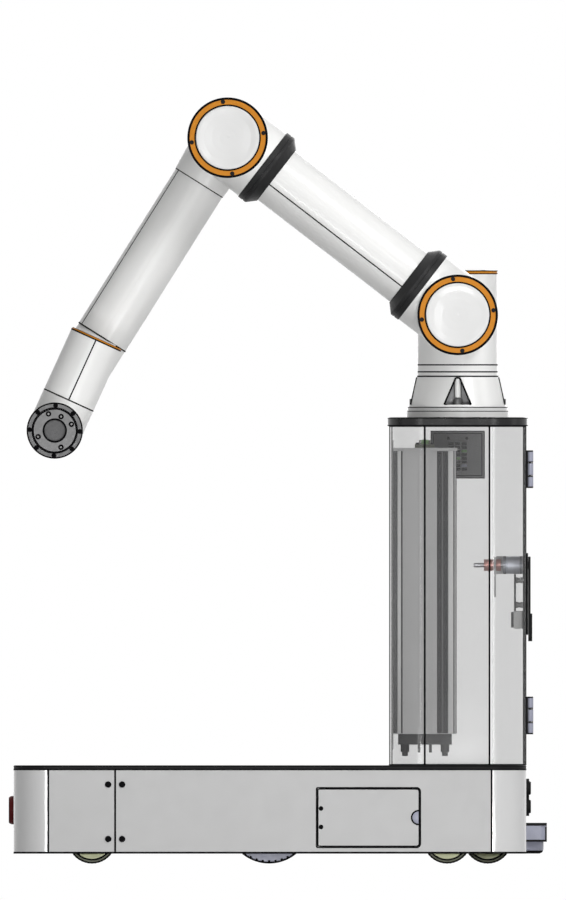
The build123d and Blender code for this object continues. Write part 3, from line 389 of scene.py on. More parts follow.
NODE_FINISHES = {
    "arm": ("arm_foot", "shoulder_housing", "shoulder_joint_housing", "elbow_joint_housing",
            "upper_arm_tube", "forearm_elbow", "forearm_tube", "forearm_end_housing",
            "wrist_one_housing", "wrist_two_housing", "forearm_cap"),
    "lid": ("shoulder_lid", "upper_arm_lids"),
    "ring": ("shoulder_cap_ring", "upper_arm_cap_rings", "wrist_one_cap"),
    "collar": ("upper_arm_collars",),
    "panel": ("left_side_panel", "right_side_panel", "front_side_panels", "hatch_door"),
    "shell": ("front_shell", "rear_shell"),
    "black": ("rear_door", "lock_handle", "deck_plate", "control_bezels", "start_button",
              "reset_button"),
    "rear": ("column_rear_frame",),
    "plate": ("column_top_plate",),
    "seal": ("case_screws",),
    "dark": ("controller_base", "battery_pack"),
    "box": ("junction_box",),
    "blue": ("scanner_base", "scanner_head", "drive_wheel_left", "drive_wheel_right"),
    "flange": ("flange_ring",),
    "disc": ("tool_flange",),
    "castor": tuple(f"castor_wheel_{corner}" for corner in CORNERS),
    "steel": (*[f"castor_fork_{corner}" for corner in CORNERS], "drive_motors"),
    "zinc": ("lock_body", "lock_spindle"),
    "case": ("controller_case",),
    "olive": ("terminal_block",),
    "stop": ("estop_head",),
    "inner": ("base_pan", "castor_plates"),
    "floor": ("column_floor",),
    "clear": ("column_front_shell", "column_side_panels"),
}


# Modelling helpers, each around the operators used by hand

def deselect_all():
    if bpy.context.object and bpy.context.object.mode != "OBJECT":
        bpy.ops.object.mode_set(mode="OBJECT")
    bpy.ops.object.select_all(action="DESELECT")


def edit():
    """Opens the active piece's mesh with all of it selected."""
    bpy.ops.object.mode_set(mode="EDIT")
    bpy.ops.mesh.select_mode(type="VERT")
    bpy.ops.mesh.select_all(action="SELECT")


def leave_edit():
    """Turns all normals outward and closes the mesh."""
    bpy.ops.mesh.select_all(action="SELECT")
    bpy.ops.mesh.normals_make_consistent(inside=False)
    bpy.ops.object.mode_set(mode="OBJECT")
    return bpy.context.object


def activate(piece):
    deselect_all()
    piece.select_set(True)
    bpy.context.view_layer.objects.active = piece


def apply_modifier(kind, **settings):
    piece = bpy.context.object
    modifier = piece.modifiers.new(kind.title(), kind)
    for name, value in settings.items():
        setattr(modifier, name, value)
    bpy.ops.object.modifier_apply(modifier=modifier.name)


def bevel_edges(width):
    apply_modifier("BEVEL", width=width, segments=2, limit_method="ANGLE", angle_limit=EDGE_ANGLE)


def settle(place):
    """Moves the active piece to its place, with the place in its mesh."""
    piece = bpy.context.object
    piece.matrix_world = place @ piece.matrix_world
    bpy.ops.object.transform_apply(location=True, rotation=True, scale=True)
    return piece


def piece_done(name, body, finish, parts=()):
    """Names the active piece, or its parts joined, finishes it and lets it ride on its body."""
    piece = join(parts) if parts else bpy.context.object
    piece.name = name
    piece.data.name = name
    piece.data.materials.clear()
    piece.data.materials.append(finishes[finish])
    bpy.ops.object.shade_smooth_by_angle(angle=SMOOTH_ANGLE)
    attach(piece, body)
    deselect_all()
    return piece


def bar(x, y, z, bevel=0.0):
    """A bar between limits of X, Y and Z, with softened edges."""
    deselect_all()
    size = [abs(end - start) for start, end in (x, y, z)]
    middle = [(start + end) / 2 for start, end in (x, y, z)]
    bpy.ops.mesh.primitive_cube_add(size=1, location=middle, scale=size)
    bpy.ops.object.transform_apply(location=True, rotation=True, scale=True)
    if bevel:
        bevel_edges(bevel)
    return bpy.context.object


def spun(profile, steps=72):
    """A turned piece about Z from (radius, height) points, by extruding a line and spinning it."""
    deselect_all()
    bpy.ops.mesh.primitive_plane_add(size=0.002)
    edit()
    bpy.ops.mesh.merge(type="CENTER")
    radius, height = profile[0]
    bpy.ops.transform.translate(value=(radius, 0, height))
    for (r0, h0), (r1, h1) in zip(profile, profile[1:]):
        bpy.ops.mesh.extrude_vertices_move(TRANSFORM_OT_translate={"value": (r1 - r0, 0, h1 - h0)})
    bpy.ops.mesh.select_all(action="SELECT")
    bpy.ops.mesh.spin(steps=steps, angle=2 * pi, center=(0, 0, 0), axis=(0, 0, 1))
    bpy.ops.mesh.select_all(action="SELECT")
    bpy.ops.mesh.remove_doubles(threshold=1e-6)
    return leave_edit()


def copies(places):
    """Copies of the active piece, one at each place, joined into one piece."""
    first = bpy.context.object
    made = []
    for place in places:
        activate(first)
        bpy.ops.object.duplicate(linked=False)
        made.append(settle(place))
    deselect_all()
    bpy.data.objects.remove(first)
    return join(made)


def disc_ring(place, inner, outer, low, high, edge=0.0, steps=72):
    """A ring about Z of a place, between two radii and two heights."""
    edge = min(edge, (high - low) / 3)
    profile = [(inner, low), (outer, low), (outer, high - edge), (outer - edge, high), (inner, high)]
    spun([*profile, profile[0]], steps)
    return settle(place)


def band(place, axis_level, radius, width, stand=0.12 * MM, depth=0.9 * MM):
    """A thin rubber band around a round part, at a level along Z of the place."""
    return disc_ring(place, radius - depth, radius + stand, axis_level - width / 2,
                     axis_level + width / 2)


def strip_along(place, start, end, radius, angle, width, stand=0.1 * MM, depth=0.9 * MM):
    """A thin strip along X of a tube, at an angle around it from the left face."""
    bar((start, end), (-width / 2, width / 2), (radius - depth, radius + stand))
    return settle(place @ Matrix.Rotation(angle, 4, "X"))


def slat(place, start, end, width):
    """A slim square strip between two points of a place."""
    along = end - start
    thick = (-width / 2, width / 2)
    bar(thick, thick, (0, along.length), width / 6)
    turn = along.to_track_quat("Z", "Y").to_matrix().to_4x4()
    return settle(place @ Matrix.Translation(start) @ turn)


def rounded_plane(x, y, corner, z, segments):
    """A plane with rounded corners, left in edit mode."""
    deselect_all()
    middle = ((x[0] + x[1]) / 2, (y[0] + y[1]) / 2, z)
    bpy.ops.mesh.primitive_plane_add(size=1, location=middle)
    bpy.context.object.scale = (x[1] - x[0], y[1] - y[0], 1)
    bpy.ops.object.transform_apply(location=True, rotation=True, scale=True)
    edit()
    bpy.ops.mesh.bevel(offset=corner, offset_pct=0, segments=segments, affect="VERTICES")


def thickened(z):
    """Gives the selected flat mesh its thickness and closes it."""
    bpy.ops.mesh.extrude_region_move(TRANSFORM_OT_translate={"value": (0, 0, z[1] - z[0])})
    return leave_edit()


def rounded_frame(x, y, corner, z, width):
    """A flat frame with rounded corners, between limits of X, Y and Z."""
    rounded_plane(x, y, corner, z[0], 12)
    bpy.ops.mesh.select_mode(type="FACE")
    bpy.ops.mesh.select_all(action="SELECT")
    bpy.ops.mesh.inset(thickness=width)
    bpy.ops.mesh.delete(type="FACE")
    bpy.ops.mesh.select_all(action="SELECT")
    return thickened(z)


def halved(x, side):
    """Cuts the active piece across X and leaves what lies behind the cut, as its side says."""
    edit()
    bpy.ops.mesh.bisect(plane_co=(x, 0, 0), plane_no=(side, 0, 0), use_fill=True, clear_outer=True)
    return leave_edit()


def hinged_frame(x, y, corner, hinge_corner, z, width):
    """A rounded frame whose corners on the hinge's side, at low X, have a radius of their own."""
    halves = []
    for radius, side in ((hinge_corner, 1), (corner, -1)):
        rounded_frame(x, y, radius, z, width)
        halves.append(halved((x[0] + x[1]) / 2, side))
    return join(halves)


def rounded_plate(x, y, corner, z, bevel):
    """A plate with rounded corners, between limits of X, Y and Z."""
    rounded_plane(x, y, corner, z[0], 8)
    bpy.ops.mesh.select_all(action="SELECT")
    thickened(z)
    bevel_edges(bevel)
    return bpy.context.object


def join(pieces):
    activate(pieces[0])
    for piece in pieces:
        piece.select_set(True)
    if len(pieces) > 1:
        bpy.ops.object.join()
    return bpy.context.object


def cut_out(piece, cutter):
    """Cuts the cutter out of the piece and leaves the piece active."""
    activate(piece)
    apply_modifier("BOOLEAN", operation="DIFFERENCE", solver="EXACT", object=cutter)
    bpy.data.objects.remove(cutter)


def hexagon(radius, low, high):
    """A six-sided prism about Z."""
    deselect_all()
    bpy.ops.mesh.primitive_cylinder_add(vertices=6, radius=radius, depth=high - low,
                                        location=(0, 0, (low + high) / 2))
    return bpy.context.object


def screws(name, body, finish, places, radius, height, socket=0.55):
    """Heads of cap screws with a hexagon socket, facing +Z of each place, as one piece."""
    edge = 0.25 * MM
    head = spun([(0, 0), (radius, 0), (radius, height - edge), (radius - edge, height), (0, height)],
                28)
    cut_out(head, hexagon(radius * socket, height / 2, height * 1.5))
    copies(places)
    piece_done(name, body, finish)


def turned_places(place, count):
    """Places turned about Z of another place, by even steps around a circle."""
    return [place @ Matrix.Rotation(2 * pi * step / count, 4, "Z") for step in range(count)]


def around(place, radius, angles, lift=0.0):
    """Places on a circle in the XY plane of another place."""
    return [place @ Matrix.Translation((radius * cos(radians(a)), radius * sin(radians(a)), lift))
            for a in angles]


def seam_strips(seams, wall, depth, stand):
    """Strips in the upright seams of both side walls, which lap onto the walls."""
    lap = 0.15 * MM
    low, high = wall
    return [bar((start - lap, end + lap), (sign * (low.y - stand), sign * (low.y + depth)),
                (low.z, high.z), 0.3 * MM)
            for sign in (1, -1) for start, end in seams]


def grown(low, high, stand):
    """Limits of X and Y around a box, at this distance from it."""
    return (low.x - stand, high.x + stand), (low.y - stand, high.y + stand)


# One operator for each group of pieces

class RobotOperator:
    bl_options = {"REGISTER", "UNDO"}

    @property
    def sizes(self):
        return bpy.context.scene.robot_sizes


class ROBOT_OT_finishes(RobotOperator, bpy.types.Operator):
    """Make the finishes and give every carried-over piece its own"""
    bl_idname = "robot.finishes"
    bl_label = "Finishes"

    def execute(self, context):
        finishes.update(make_finishes(context.scene.robot_colours))
        for finish, names in NODE_FINISHES.items():
            for name in names:
                node = nodes[name]
                node.data.materials.clear()
                node.data.materials.append(finishes[finish])
        unpainted = set(nodes) - {name for names in NODE_FINISHES.values() for name in names}
        if unpainted:
            raise RuntimeError(f"no finish for {sorted(unpainted)}")
        return {"FINISHED"}


class ROBOT_OT_base_seals(RobotOperator, bpy.types.Operator):
    """Rubber strips in the seams of the base and around its two edges"""
    bl_idname = "robot.base_seals"
    bl_label = "Base seals"

    def execute(self, context):
        stand = self.sizes.seal_stand
        panel_low, panel_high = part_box("left_side_panel")
        front_low, front_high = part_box("front_side_panels")
        shell_end, shell_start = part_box("front_shell")[1].x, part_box("rear_shell")[0].x
        seams = [(shell_end, front_low.x), (front_high.x, panel_low.x), (panel_high.x, shell_start)]
        join(seam_strips(seams, (panel_low, panel_high), 3.6 * MM, stand))
        piece_done("base_seam_seals", "chassis", "seal")

        deck_low, deck_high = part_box("deck_plate")
        x, y = grown(deck_low, deck_high, stand)
        corner, width = 50 * MM + stand, stand + 1.2 * MM
        levels = spans(deck_low.z, (-2, 0.1)) + spans(deck_high.z, (-1.9, -0.8))
        join([rounded_frame(x, y, corner, z, width) for z in levels])
        piece_done("deck_edge_seals", "chassis", "seal")
        bottom = panel_low.z
        edge = rounded_frame(x, y, corner, span(bottom, -0.2, 2.5), width)
        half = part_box("scanner_base")[1].y + 1 * MM
        cut_out(edge, bar(span(deck_high.x, -3, 2), (-half, half), span(bottom, -1, 4)))
        piece_done("base_lower_edge", "chassis", "seal")
        return {"FINISHED"}


class ROBOT_OT_column_seals(RobotOperator, bpy.types.Operator):
    """Rubber strips in the seams of the column and around its two ends"""
    bl_idname = "robot.column_seals"
    bl_label = "Column seals"

    def execute(self, context):
        stand = self.sizes.seal_stand
        front_low, front_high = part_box("column_front_shell")
        wall_low, wall_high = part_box("column_side_panels")
        seam = wall_low.x - front_high.x
        corner = front_high.x - front_low.x + seam / 2
        rear = wall_high.x - corner - 1.5 * MM
        seams = [(front_high.x, wall_low.x), (rear - seam / 2, rear + seam / 2)]
        strips = seam_strips(seams, (wall_low, wall_high), 3.1 * MM, stand)
        for sign in (1, -1):
            flat = sign * (wall_low.y + corner)
            strips.append(bar((wall_high.x - 3 * MM, wall_high.x + stand), span(flat, -0.9, 0.9),
                              (wall_low.z, wall_high.z), 0.2 * MM))
        piece_done("column_seam_seals", "chassis", "seal", strips)

        top_low, top_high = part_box("column_top_plate")
        low = Vector((front_low.x, wall_low.y))
        ends = (("column_end_seals", low, wall_high, corner,
                 spans(wall_low.z, (0, 1.6)) + spans(wall_high.z, (-1.3, 0))),
                ("top_plate_edges", top_low, top_high, corner + 2 * MM,
                 spans(top_low.z, (-0.1, 1.4)) + spans(top_high.z, (-1.9, -0.9))))
        for name, low, high, radius, levels in ends:
            x, y = grown(low, high, stand)
            join([rounded_frame(x, y, radius + stand, z, stand + 1.5 * MM) for z in levels])
            piece_done(name, "chassis", "seal")
        return {"FINISHED"}


class ROBOT_OT_hatch_fittings(RobotOperator, bpy.types.Operator):
    """Edge seal, lip, hinge screws and finger latch of the hatch"""
    bl_idname = "robot.hatch_fittings"
    bl_label = "Hatch fittings"

    def execute(self, context):
        low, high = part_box("hatch_door")
        panel_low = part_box("left_side_panel")[0]
        axis = joint_place("hatch_swing")
        bottom, top = low.z + 5.5 * MM, high.z - 5.5 * MM
        width = self.sizes.hatch_seal
        stand = self.sizes.seal_stand
        gap = 0.8 * MM
        upright = placed((0, panel_low.y, 0), "X", 90)
        x = (low.x - gap - width / 2, high.x + gap + width / 2)
        z = (bottom - gap - width / 2, top + gap + width / 2)
        hinged_frame(x, z, 6.5 * MM, 2.6 * MM, (0, stand), width / 2)
        settle(upright)
        piece_done("hatch_edge_seal", "chassis", "seal")
        hinged_frame((low.x, high.x), (bottom, top), 4.2 * MM, 2.2 * MM, (0, stand / 2), width / 2)
        settle(upright)
        piece_done("hatch_lip", "hatch", "seal")

        spots = [placed((axis.x + 3 * MM, low.y, z), "X", 90) for z in mm(77.3, 51.3)]
        screws("hatch_hinge_screws", "hatch", "seal", spots, 3.3 * MM, 0.3 * MM, 0.4)

        latch = placed((high.x - width / 2, low.y, (bottom + top) / 2), "X", 90)
        inner, outer, sunk = mm(8.7, 10.8, -2.2)
        disc = outline((0, -2.2), (8.6, -2.2), (8.6, -0.3), (8, 0.1), (0, 0.1))
        rim = [(inner, sunk), (outer, sunk), (outer, stand), (inner, stand), (inner, sunk)]
        for name, finish, profile in (("hatch_latch", "blue", disc), ("hatch_latch_rim", "seal", rim)):
            spun(profile, 64)
            halved(0, 1)
            settle(latch)
            piece_done(name, "hatch", finish)
        return {"FINISHED"}


class ROBOT_OT_hinges(RobotOperator, bpy.types.Operator):
    """Sleeves around the knuckles of the rear door's hinges, and their leaf screws"""
    bl_idname = "robot.hinges"
    bl_label = "Hinges"

    def execute(self, context):
        axis = joint_place("rear_door_swing")
        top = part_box("column_top_plate")[0].z
        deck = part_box("deck_plate")[1].z
        levels = (top - 60.7 * MM, deck + 70 * MM)
        third = 53 * MM / 3
        bore, rim, outer = mm(3.75, 4.87, 5)
        for name, body, steps in (("hinge_sleeves_fixed", "chassis", (-1, 1)),
                                  ("hinge_sleeves_door", "door", (0,))):
            half = third / 2 - (0.9 * MM if body == "door" else 2.2 * MM)
            full = half - 0.4 * MM
            spun([(bore, -half), (rim, -half), (outer, -full), (outer, full), (rim, half),
                  (bore, half), (bore, -half)], 40)
            copies([Matrix.Translation((axis.x, axis.y, level + step * third))
                    for level in levels for step in steps])
            piece_done(name, body, "hinge")
        leaf_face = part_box("column_side_panels")[1].x + 2.5 * MM
        spots = [placed((leaf_face, axis.y + 15 * MM, level + step * third), "Y", 90)
                 for level in levels for step in (-1, 1)]
        screws("hinge_leaf_screws", "door", "steel", spots, 2.1 * MM, 0.9 * MM)
        return {"FINISHED"}


class ROBOT_OT_lock(RobotOperator, bpy.types.Operator):
    """The lock's plate, barrel, strap and block, and its spindle, cam and nuts, each in its own metal"""
    bl_idname = "robot.lock"
    bl_label = "Lock"

    def execute(self, context):
        axis = joint_place("lock_turn")
        low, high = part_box("lock_spindle")
        inward = placed((0, axis.y, axis.z), "Y", 90)
        body_low, body_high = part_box("lock_body")
        barrel = body_low.x
        spun([(0, low.x), (2.6 * MM, low.x), (3.15 * MM, low.x + 0.6 * MM), (3.15 * MM, barrel),
              (5 * MM, barrel), (5 * MM, high.x), (0, high.x)], 36)
        rod = [settle(inward)]
        for step in range(7):
            at = low.x + (2.2 + 1.7 * step) * MM
            rod.append(disc_ring(inward, 2.6 * MM, 3.32 * MM, at, at + 0.8 * MM, 0.2 * MM, 32))
        piece_done("lock_rod", "lock", "steel", rod)
        cam_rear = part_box("rear_door")[0].x - 38 * MM
        cam_front = cam_rear - 2.6 * MM
        bar((cam_front, cam_rear), span(axis.y, -11, 11), (low.z, axis.z + 11 * MM), 0.5 * MM)
        piece_done("lock_cam", "lock", "case")
        nuts = []
        for start, end in (*spans(cam_front, (-14.3, -5.9), (-5.7, -0.1)), span(cam_rear, 0.1, 7.2)):
            hexagon(9.4 * MM, start, end)
            bevel_edges(0.7 * MM)
            nuts.append(settle(inward))
        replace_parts(piece_done("lock_nuts", "lock", "copper", nuts), "lock_spindle")
        turned = outline((5.1, 0), (11.6, 0), (12.2, 0.7), (12.2, 5.2), (11.7, 5.6), (11.7, 6.2),
                         (12.5, 6.6), (12.5, 23.4), (11.9, 23.8), (11.9, 28.2), (9.7, 28.2))
        barrel_end = body_high.x - 2.5 * MM
        spun([*[(radius, barrel + along) for radius, along in turned],
              (9.7 * MM, barrel_end), (5.1 * MM, barrel_end), (5.1 * MM, barrel)])
        settle(inward)
        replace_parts(piece_done("lock_barrel", "door", "zinc"), "lock_body")
        knurls = []
        for start, long, radius in (mm(0.6, 4.4, 12.2), mm(24.2, 3.6, 11.9)):
            bar(span(radius, -0.6, 0.3), mm(-0.45, 0.45), (start, start + long), 0.15 * MM)
            knurls.append(copies(turned_places(placed((barrel, axis.y, axis.z), "Y", 90), 36)))
        piece_done("lock_barrel_knurls", "door", "dark", knurls)

        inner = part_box("rear_door")[0].x
        rounded_plate(span(axis.y, -16, 16), span(body_high.z, -115, 0), 6 * MM,
                      (barrel_end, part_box("lock_handle")[0].x - 0.1 * MM), 0.5 * MM)
        settle(STANDING)
        piece_done("lock_plate", "door", "black")
        strap_low, strap_high = span(axis.z, -64.4, -12.8)
        block_low = axis.z - 89.2 * MM
        narrow = span(axis.y, -8, 8)
        strap_back = inner - 9.85 * MM
        rounded_plate(narrow, (strap_low, strap_high), 2 * MM, span(strap_back, -2.8, 0), 0.4 * MM)
        settle(STANDING)
        piece_done("lock_strap", "door", "trim")
        posts = []
        for level in (strap_low + 8.5 * MM, strap_high - 8.5 * MM):
            spun(outline((0, 0), (4.2, 0), (4.2, 3), (3.5, 3.4), (3.5, 6.2), (4.2, 6.6), (4.2, 9.85),
                         (0, 9.85)), 32)
            posts.append(settle(placed((strap_back, axis.y, level), "Y", 90)))
        piece_done("lock_posts", "door", "case", posts)
        rounded_plate(narrow, (block_low, strap_low), 2 * MM, span(inner, -13.2, 0), 0.6 * MM)
        settle(STANDING)
        piece_done("lock_block", "door", "pale")
        join([rounded_plate(narrow, (block_low + 1.5 * MM, strap_low - 1.5 * MM), 2 * MM,
                            span(inner, -16.8, -13), 0.6 * MM),
              rounded_frame(span(axis.y, -8.2, 8.2), (block_low - 0.2 * MM, strap_low), 2 * MM,
                            span(inner, -1.6, -0.2), 1 * MM)])
        settle(STANDING)
        piece_done("lock_bolt", "door", "trim")
        return {"FINISHED"}


class ROBOT_OT_cabinet(RobotOperator, bpy.types.Operator):
    """Side strips of the controller, with lighter strips of painted highlight and dark liners of painted
    shade in its groove, its plugs, and the fittings of the junction box
    """
    bl_idname = "robot.cabinet"
    bl_label = "Cabinet"

    def execute(self, context):
        case_low, case_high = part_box("controller_case")
        side = case_high.y - 1.2 * MM
        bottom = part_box("controller_base")[1].z
        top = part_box("terminal_block")[0].z - 4.5 * MM
        front = case_low.x + 3 * MM
        back = case_high.x - 1.2 * MM

        def strips(name, finish, along, inner, outer):
            """Upright strips on both sides of the case, between two distances from its side."""
            join([bar(x, [sign * y for y in span(side, inner, outer)], (bottom + 1 * MM, top),
                      0.25 * MM) for sign in (-1, 1) for x in along])
            piece_done(name, "chassis", finish)

        dark = spans(front, (0, 1), (4.6, 5.4), (10.8, 12.8)) + spans(back, (-4.2, -3), (-0.8, 0.2))
        strips("controller_dark_strips", "dark", dark, -1, 0.5)
        strips("controller_trim_strips", "trim", spans(front, (1.2, 4.4)), -1, 0.5)
        # Lighter strips in a brighter copy of the case's coating: painted highlight bands.
        light = spans(front, (5.6, 10.6)) + spans(back, (-11.2, -4.4))
        strips("controller_painted_highlights", "light", light, -1, 0.5)
        groove_end = back - 12 * MM
        # Dark liners in the groove are painted shade.
        liners = spans(groove_end, (-15.2, -8.9), (-6.6, 0))
        strips("controller_groove_painted_shade", "dark", liners, -4.8, -3.2)
        strips("controller_groove_ribs", "trim", spans(groove_end, (-8.9, -6.5)), -2, -0.8)

        low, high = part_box("terminal_block")
        pitch = 11 * MM
        rows = [(step - 3.5) * pitch for step in range(8)]
        spots = [Matrix.Translation(((low.x + high.x) / 2, y, high.z + 0.2 * MM)) for y in rows]
        screws("terminal_screws", "chassis", "steel", spots, 2.2 * MM, 0.8 * MM)
        ends = ((span(low.x, 1, 6.5), 7.5), (span(high.x, -6.2, -1), 7))
        levers = [bar(x, span(y, -3, 3), span(low.z, 4.8, tip), 0.8 * MM)
                  for y in rows for x, tip in ends]
        piece_done("terminal_levers", "chassis", "dark", levers)
        keys = [bar((low.x + 8.5 * MM, high.x - 8.5 * MM), span(y, -4.6, 4.6),
                    span(high.z, -4.5, 0.3), 0.5 * MM) for y in rows]
        keys.append(bar((low.x + 9 * MM, high.x - 9 * MM), span(low.y, -0.3, 2),
                        span(high.z, -6, 0.2), 0.5 * MM))
        piece_done("terminal_keys", "chassis", "terminal", keys)

        low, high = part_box("junction_box")
        middle = (low.x + high.x) / 2
        face = low.y + 2 * MM
        spots = [placed((middle + x, face + 1.5 * MM, high.z - 10.6 * MM), "X", 90)
                 for x in mm(-13, 13)]
        screws("junction_screws", "chassis", "dark", spots, 2.2 * MM, 1.6 * MM)
        blocks = {"dark": [], "terminal": [], "blue": []}
        for row in range(8):
            for column in range(3):
                kind = "dark"
                if (row * 3 + column) % 7 == 3:
                    kind = "terminal"
                elif (row + column * 2) % 9 == 5:
                    kind = "blue"
                x = middle + (column - 1) * 9.2 * MM
                z = low.z + (11 + row * 5.1) * MM
                blocks[kind].append(bar(span(x, -3.8, 3.8), span(low.y, -1.6, 0.4), span(z, 0, 3.9),
                                        0.6 * MM))
        for kind, pieces in blocks.items():
            piece_done(f"junction_{kind}_plugs", "chassis", kind, pieces)
        join([rounded_frame((low.x + inset, high.x - inset), (low.z + inset, high.z - inset), 0.8 * MM,
                            (lift - 0.5 * MM, lift), 1.1 * MM)
              for inset, lift in (mm(3.4, 0.5), mm(-0.1, 2.1))])
        settle(placed((0, face, 0), "X", 90))
        piece_done("junction_rim", "chassis", "seal")
        return {"FINISHED"}


class ROBOT_OT_ring_screws(RobotOperator, bpy.types.Operator):
    """Screws in the coloured rings, and dark gaskets on both sides of each ring"""
    bl_idname = "robot.ring_screws"
    bl_label = "Ring screws"

    def execute(self, context):
        arm_rings = (at_shoulder, at_elbow)
        on_top = Matrix.Translation((shoulder_axis.x, 0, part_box("shoulder_cap_ring")[1].z))
        for body, places in (("upper_arm", arm_rings), ("shoulder", (on_top,))):
            spots = [spot for place in places
                     for spot in around(place, self.sizes.ring_circle, QUARTERS, -0.3 * MM)]
            screws(f"{body}_ring_screws", body, "black", spots, self.sizes.ring_screw, 0.9 * MM)

        inner = mm(43.5, 46.7, -1.6, 0.25)
        outer = mm(53.4, 56.65, -4.9, 0.2)
        join([disc_ring(place, *sizes, steps=96) for place in arm_rings for sizes in (inner, outer)])
        piece_done("upper_arm_ring_gaskets", "upper_arm", "seal")
        join([disc_ring(on_top, *inner, steps=96),
              disc_ring(on_top, *mm(53.4, 56.2, -5.1, -3.7), steps=96),
              disc_ring(on_top, *mm(53.4, 56.2, -0.9, 0.2), steps=96)])
        piece_done("shoulder_ring_gasket", "shoulder", "seal")
        return {"FINISHED"}


class ROBOT_OT_arm_seams(RobotOperator, bpy.types.Operator):
    """Bands at the arm's joints, its tubes' split lines, the foot's pockets with dark plates of painted
    shade at their backs, and the wrist's cap
    """
    bl_idname = "robot.arm_seams"
    bl_label = "Arm seams"

    def execute(self, context):
        line = self.sizes.groove
        quarter = Matrix.Rotation(radians(90), 4, "Y")
        foot = Matrix.Translation((shoulder_axis.x, 0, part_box("arm_foot")[1].z))
        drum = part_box("shoulder_housing")[1].x - shoulder_axis.x
        join([band(foot, level * MM, drum + out * MM, line)
              for level, out in ((-5.5, 0.9), (-49.4, 13.9), (-55, 14.8))])
        piece_done("foot_bands", "chassis", "seal")
        join([band(foot, 0.8 * MM, drum, line), band(foot, 10.6 * MM, drum, line)])
        piece_done("shoulder_bands", "shoulder", "seal")

        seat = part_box("arm_foot")[0].z + 17.6 * MM
        low_corner, high_corner = Vector(mm(65.7, 18.9, 0.4)), Vector(mm(57.4, 2.9, 37.7))
        quarters = turned_places(Matrix.Translation((shoulder_axis.x, 0, seat)), 4)
        edges = []
        for at in quarters:
            for sign in (-1, 1):
                mirrored = Vector((1, sign, 1))
                edges.append(slat(at, low_corner * mirrored, high_corner * mirrored, 2.1 * MM))
                start, end = [Vector(mm(54.2, sign * 4.4, level)) for level in (10.4, 34.5)]
                edges.append(slat(at, start, end, 1.3 * MM))
            for corner, width in ((low_corner, 1.6 * MM), (high_corner, 2.1 * MM)):
                edges.append(slat(at, corner * Vector((1, -1, 1)), corner, width))
        piece_done("foot_pocket_edges", "chassis", "seal", edges)
        # Dark plates at the back of the foot's pockets: painted shade where the pockets lie in shade.
        deselect_all()
        bpy.ops.mesh.primitive_cylinder_add(vertices=3, radius=1, depth=0.8 * MM,
                                            scale=(21.4 * MM, 29 * MM, 1),
                                            location=(0, 14.7 * MM, 51.4 * MM))
        bpy.ops.object.transform_apply(location=True, rotation=True, scale=True)
        bevel_edges(0.2 * MM)
        copies([at @ STANDING for at in quarters])
        piece_done("foot_pocket_painted_shade", "chassis", "box")
        spots = [at @ Matrix.Translation((61 * MM, 0, 0)) for at in quarters]
        screws("foot_bolt_heads", "chassis", "flange", spots, 6.7 * MM, 8.2 * MM, 0.5)

        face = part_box("shoulder_joint_housing")[1].y - 1 * MM
        lines = [band(placed((at.x, face, at.z), "X", 90), 0, 53.6 * MM, 1.6 * MM)
                 for at in (shoulder_axis, elbow_axis)]
        start, end = 86 * MM, upper_length - 86 * MM
        slant = radians(22)
        lines += [strip_along(along_upper, start, end, upper_radius, angle, line)
                  for angle in (-slant, pi - slant)]
        piece_done("upper_arm_seams", "upper_arm", "seal", lines)

        neck, stub = 74.7 * MM, fore_length - 45 * MM
        slant = radians(61.7)
        lines = [band(along_fore @ quarter, at, fore_radius + 0.3 * MM, line) for at in (neck, stub)]
        lines += [strip_along(along_fore, neck, stub, fore_radius, angle, line)
                  for angle in (slant, pi + slant)]
        piece_done("forearm_seams", "forearm", "seal", lines)

        split = reach(wrist_axis, flange_axis) - 46.6 * MM
        lines = [band(along_wrist @ quarter, at, wrist_radius + 0.35 * MM, line)
                 for at in (split - 0.6 * MM, -37.4 * MM)]
        lines += [strip_along(along_wrist, -37 * MM, split, wrist_radius + 0.3 * MM, angle, line)
                  for angle in (0, pi)]
        piece_done("wrist_seams", "wrist_one", "seal", lines)

        cap = along_wrist @ Matrix.Rotation(radians(-90), 4, "Y")
        base = wrist_radius
        disc_ring(cap, *span(base, -8.7, 0), *span(base, 0, 2.5), 0.8 * MM)
        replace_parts(piece_done("wrist_cap_ring", "wrist_one", "ring"), "wrist_one_cap")
        lid = base - 9.2 * MM
        spun([(0, base), (lid, base), (lid, base + 3.7 * MM), (lid - 0.8 * MM, base + 4.5 * MM),
              (lid - 4 * MM, base + 4.5 * MM), (lid * 0.6, base + 3.4 * MM), (0, base + 2 * MM)])
        settle(cap)
        # The wrist's lid takes the lid coating, whose darker colour is painted shade.
        piece_done("wrist_cap_lid", "wrist_one", "lid")
        join([disc_ring(cap, *span(lid, -0.4, 0.9), *span(base, 1, 2.8)),
              disc_ring(cap, *span(base, -4, 0.3), *span(base, -1.4, 0.3)),
              disc_ring(cap, *span(base, -4, -0.5), *span(base, 1.9, 2.8))])
        piece_done("wrist_cap_gasket", "wrist_one", "seal")
        return {"FINISHED"}


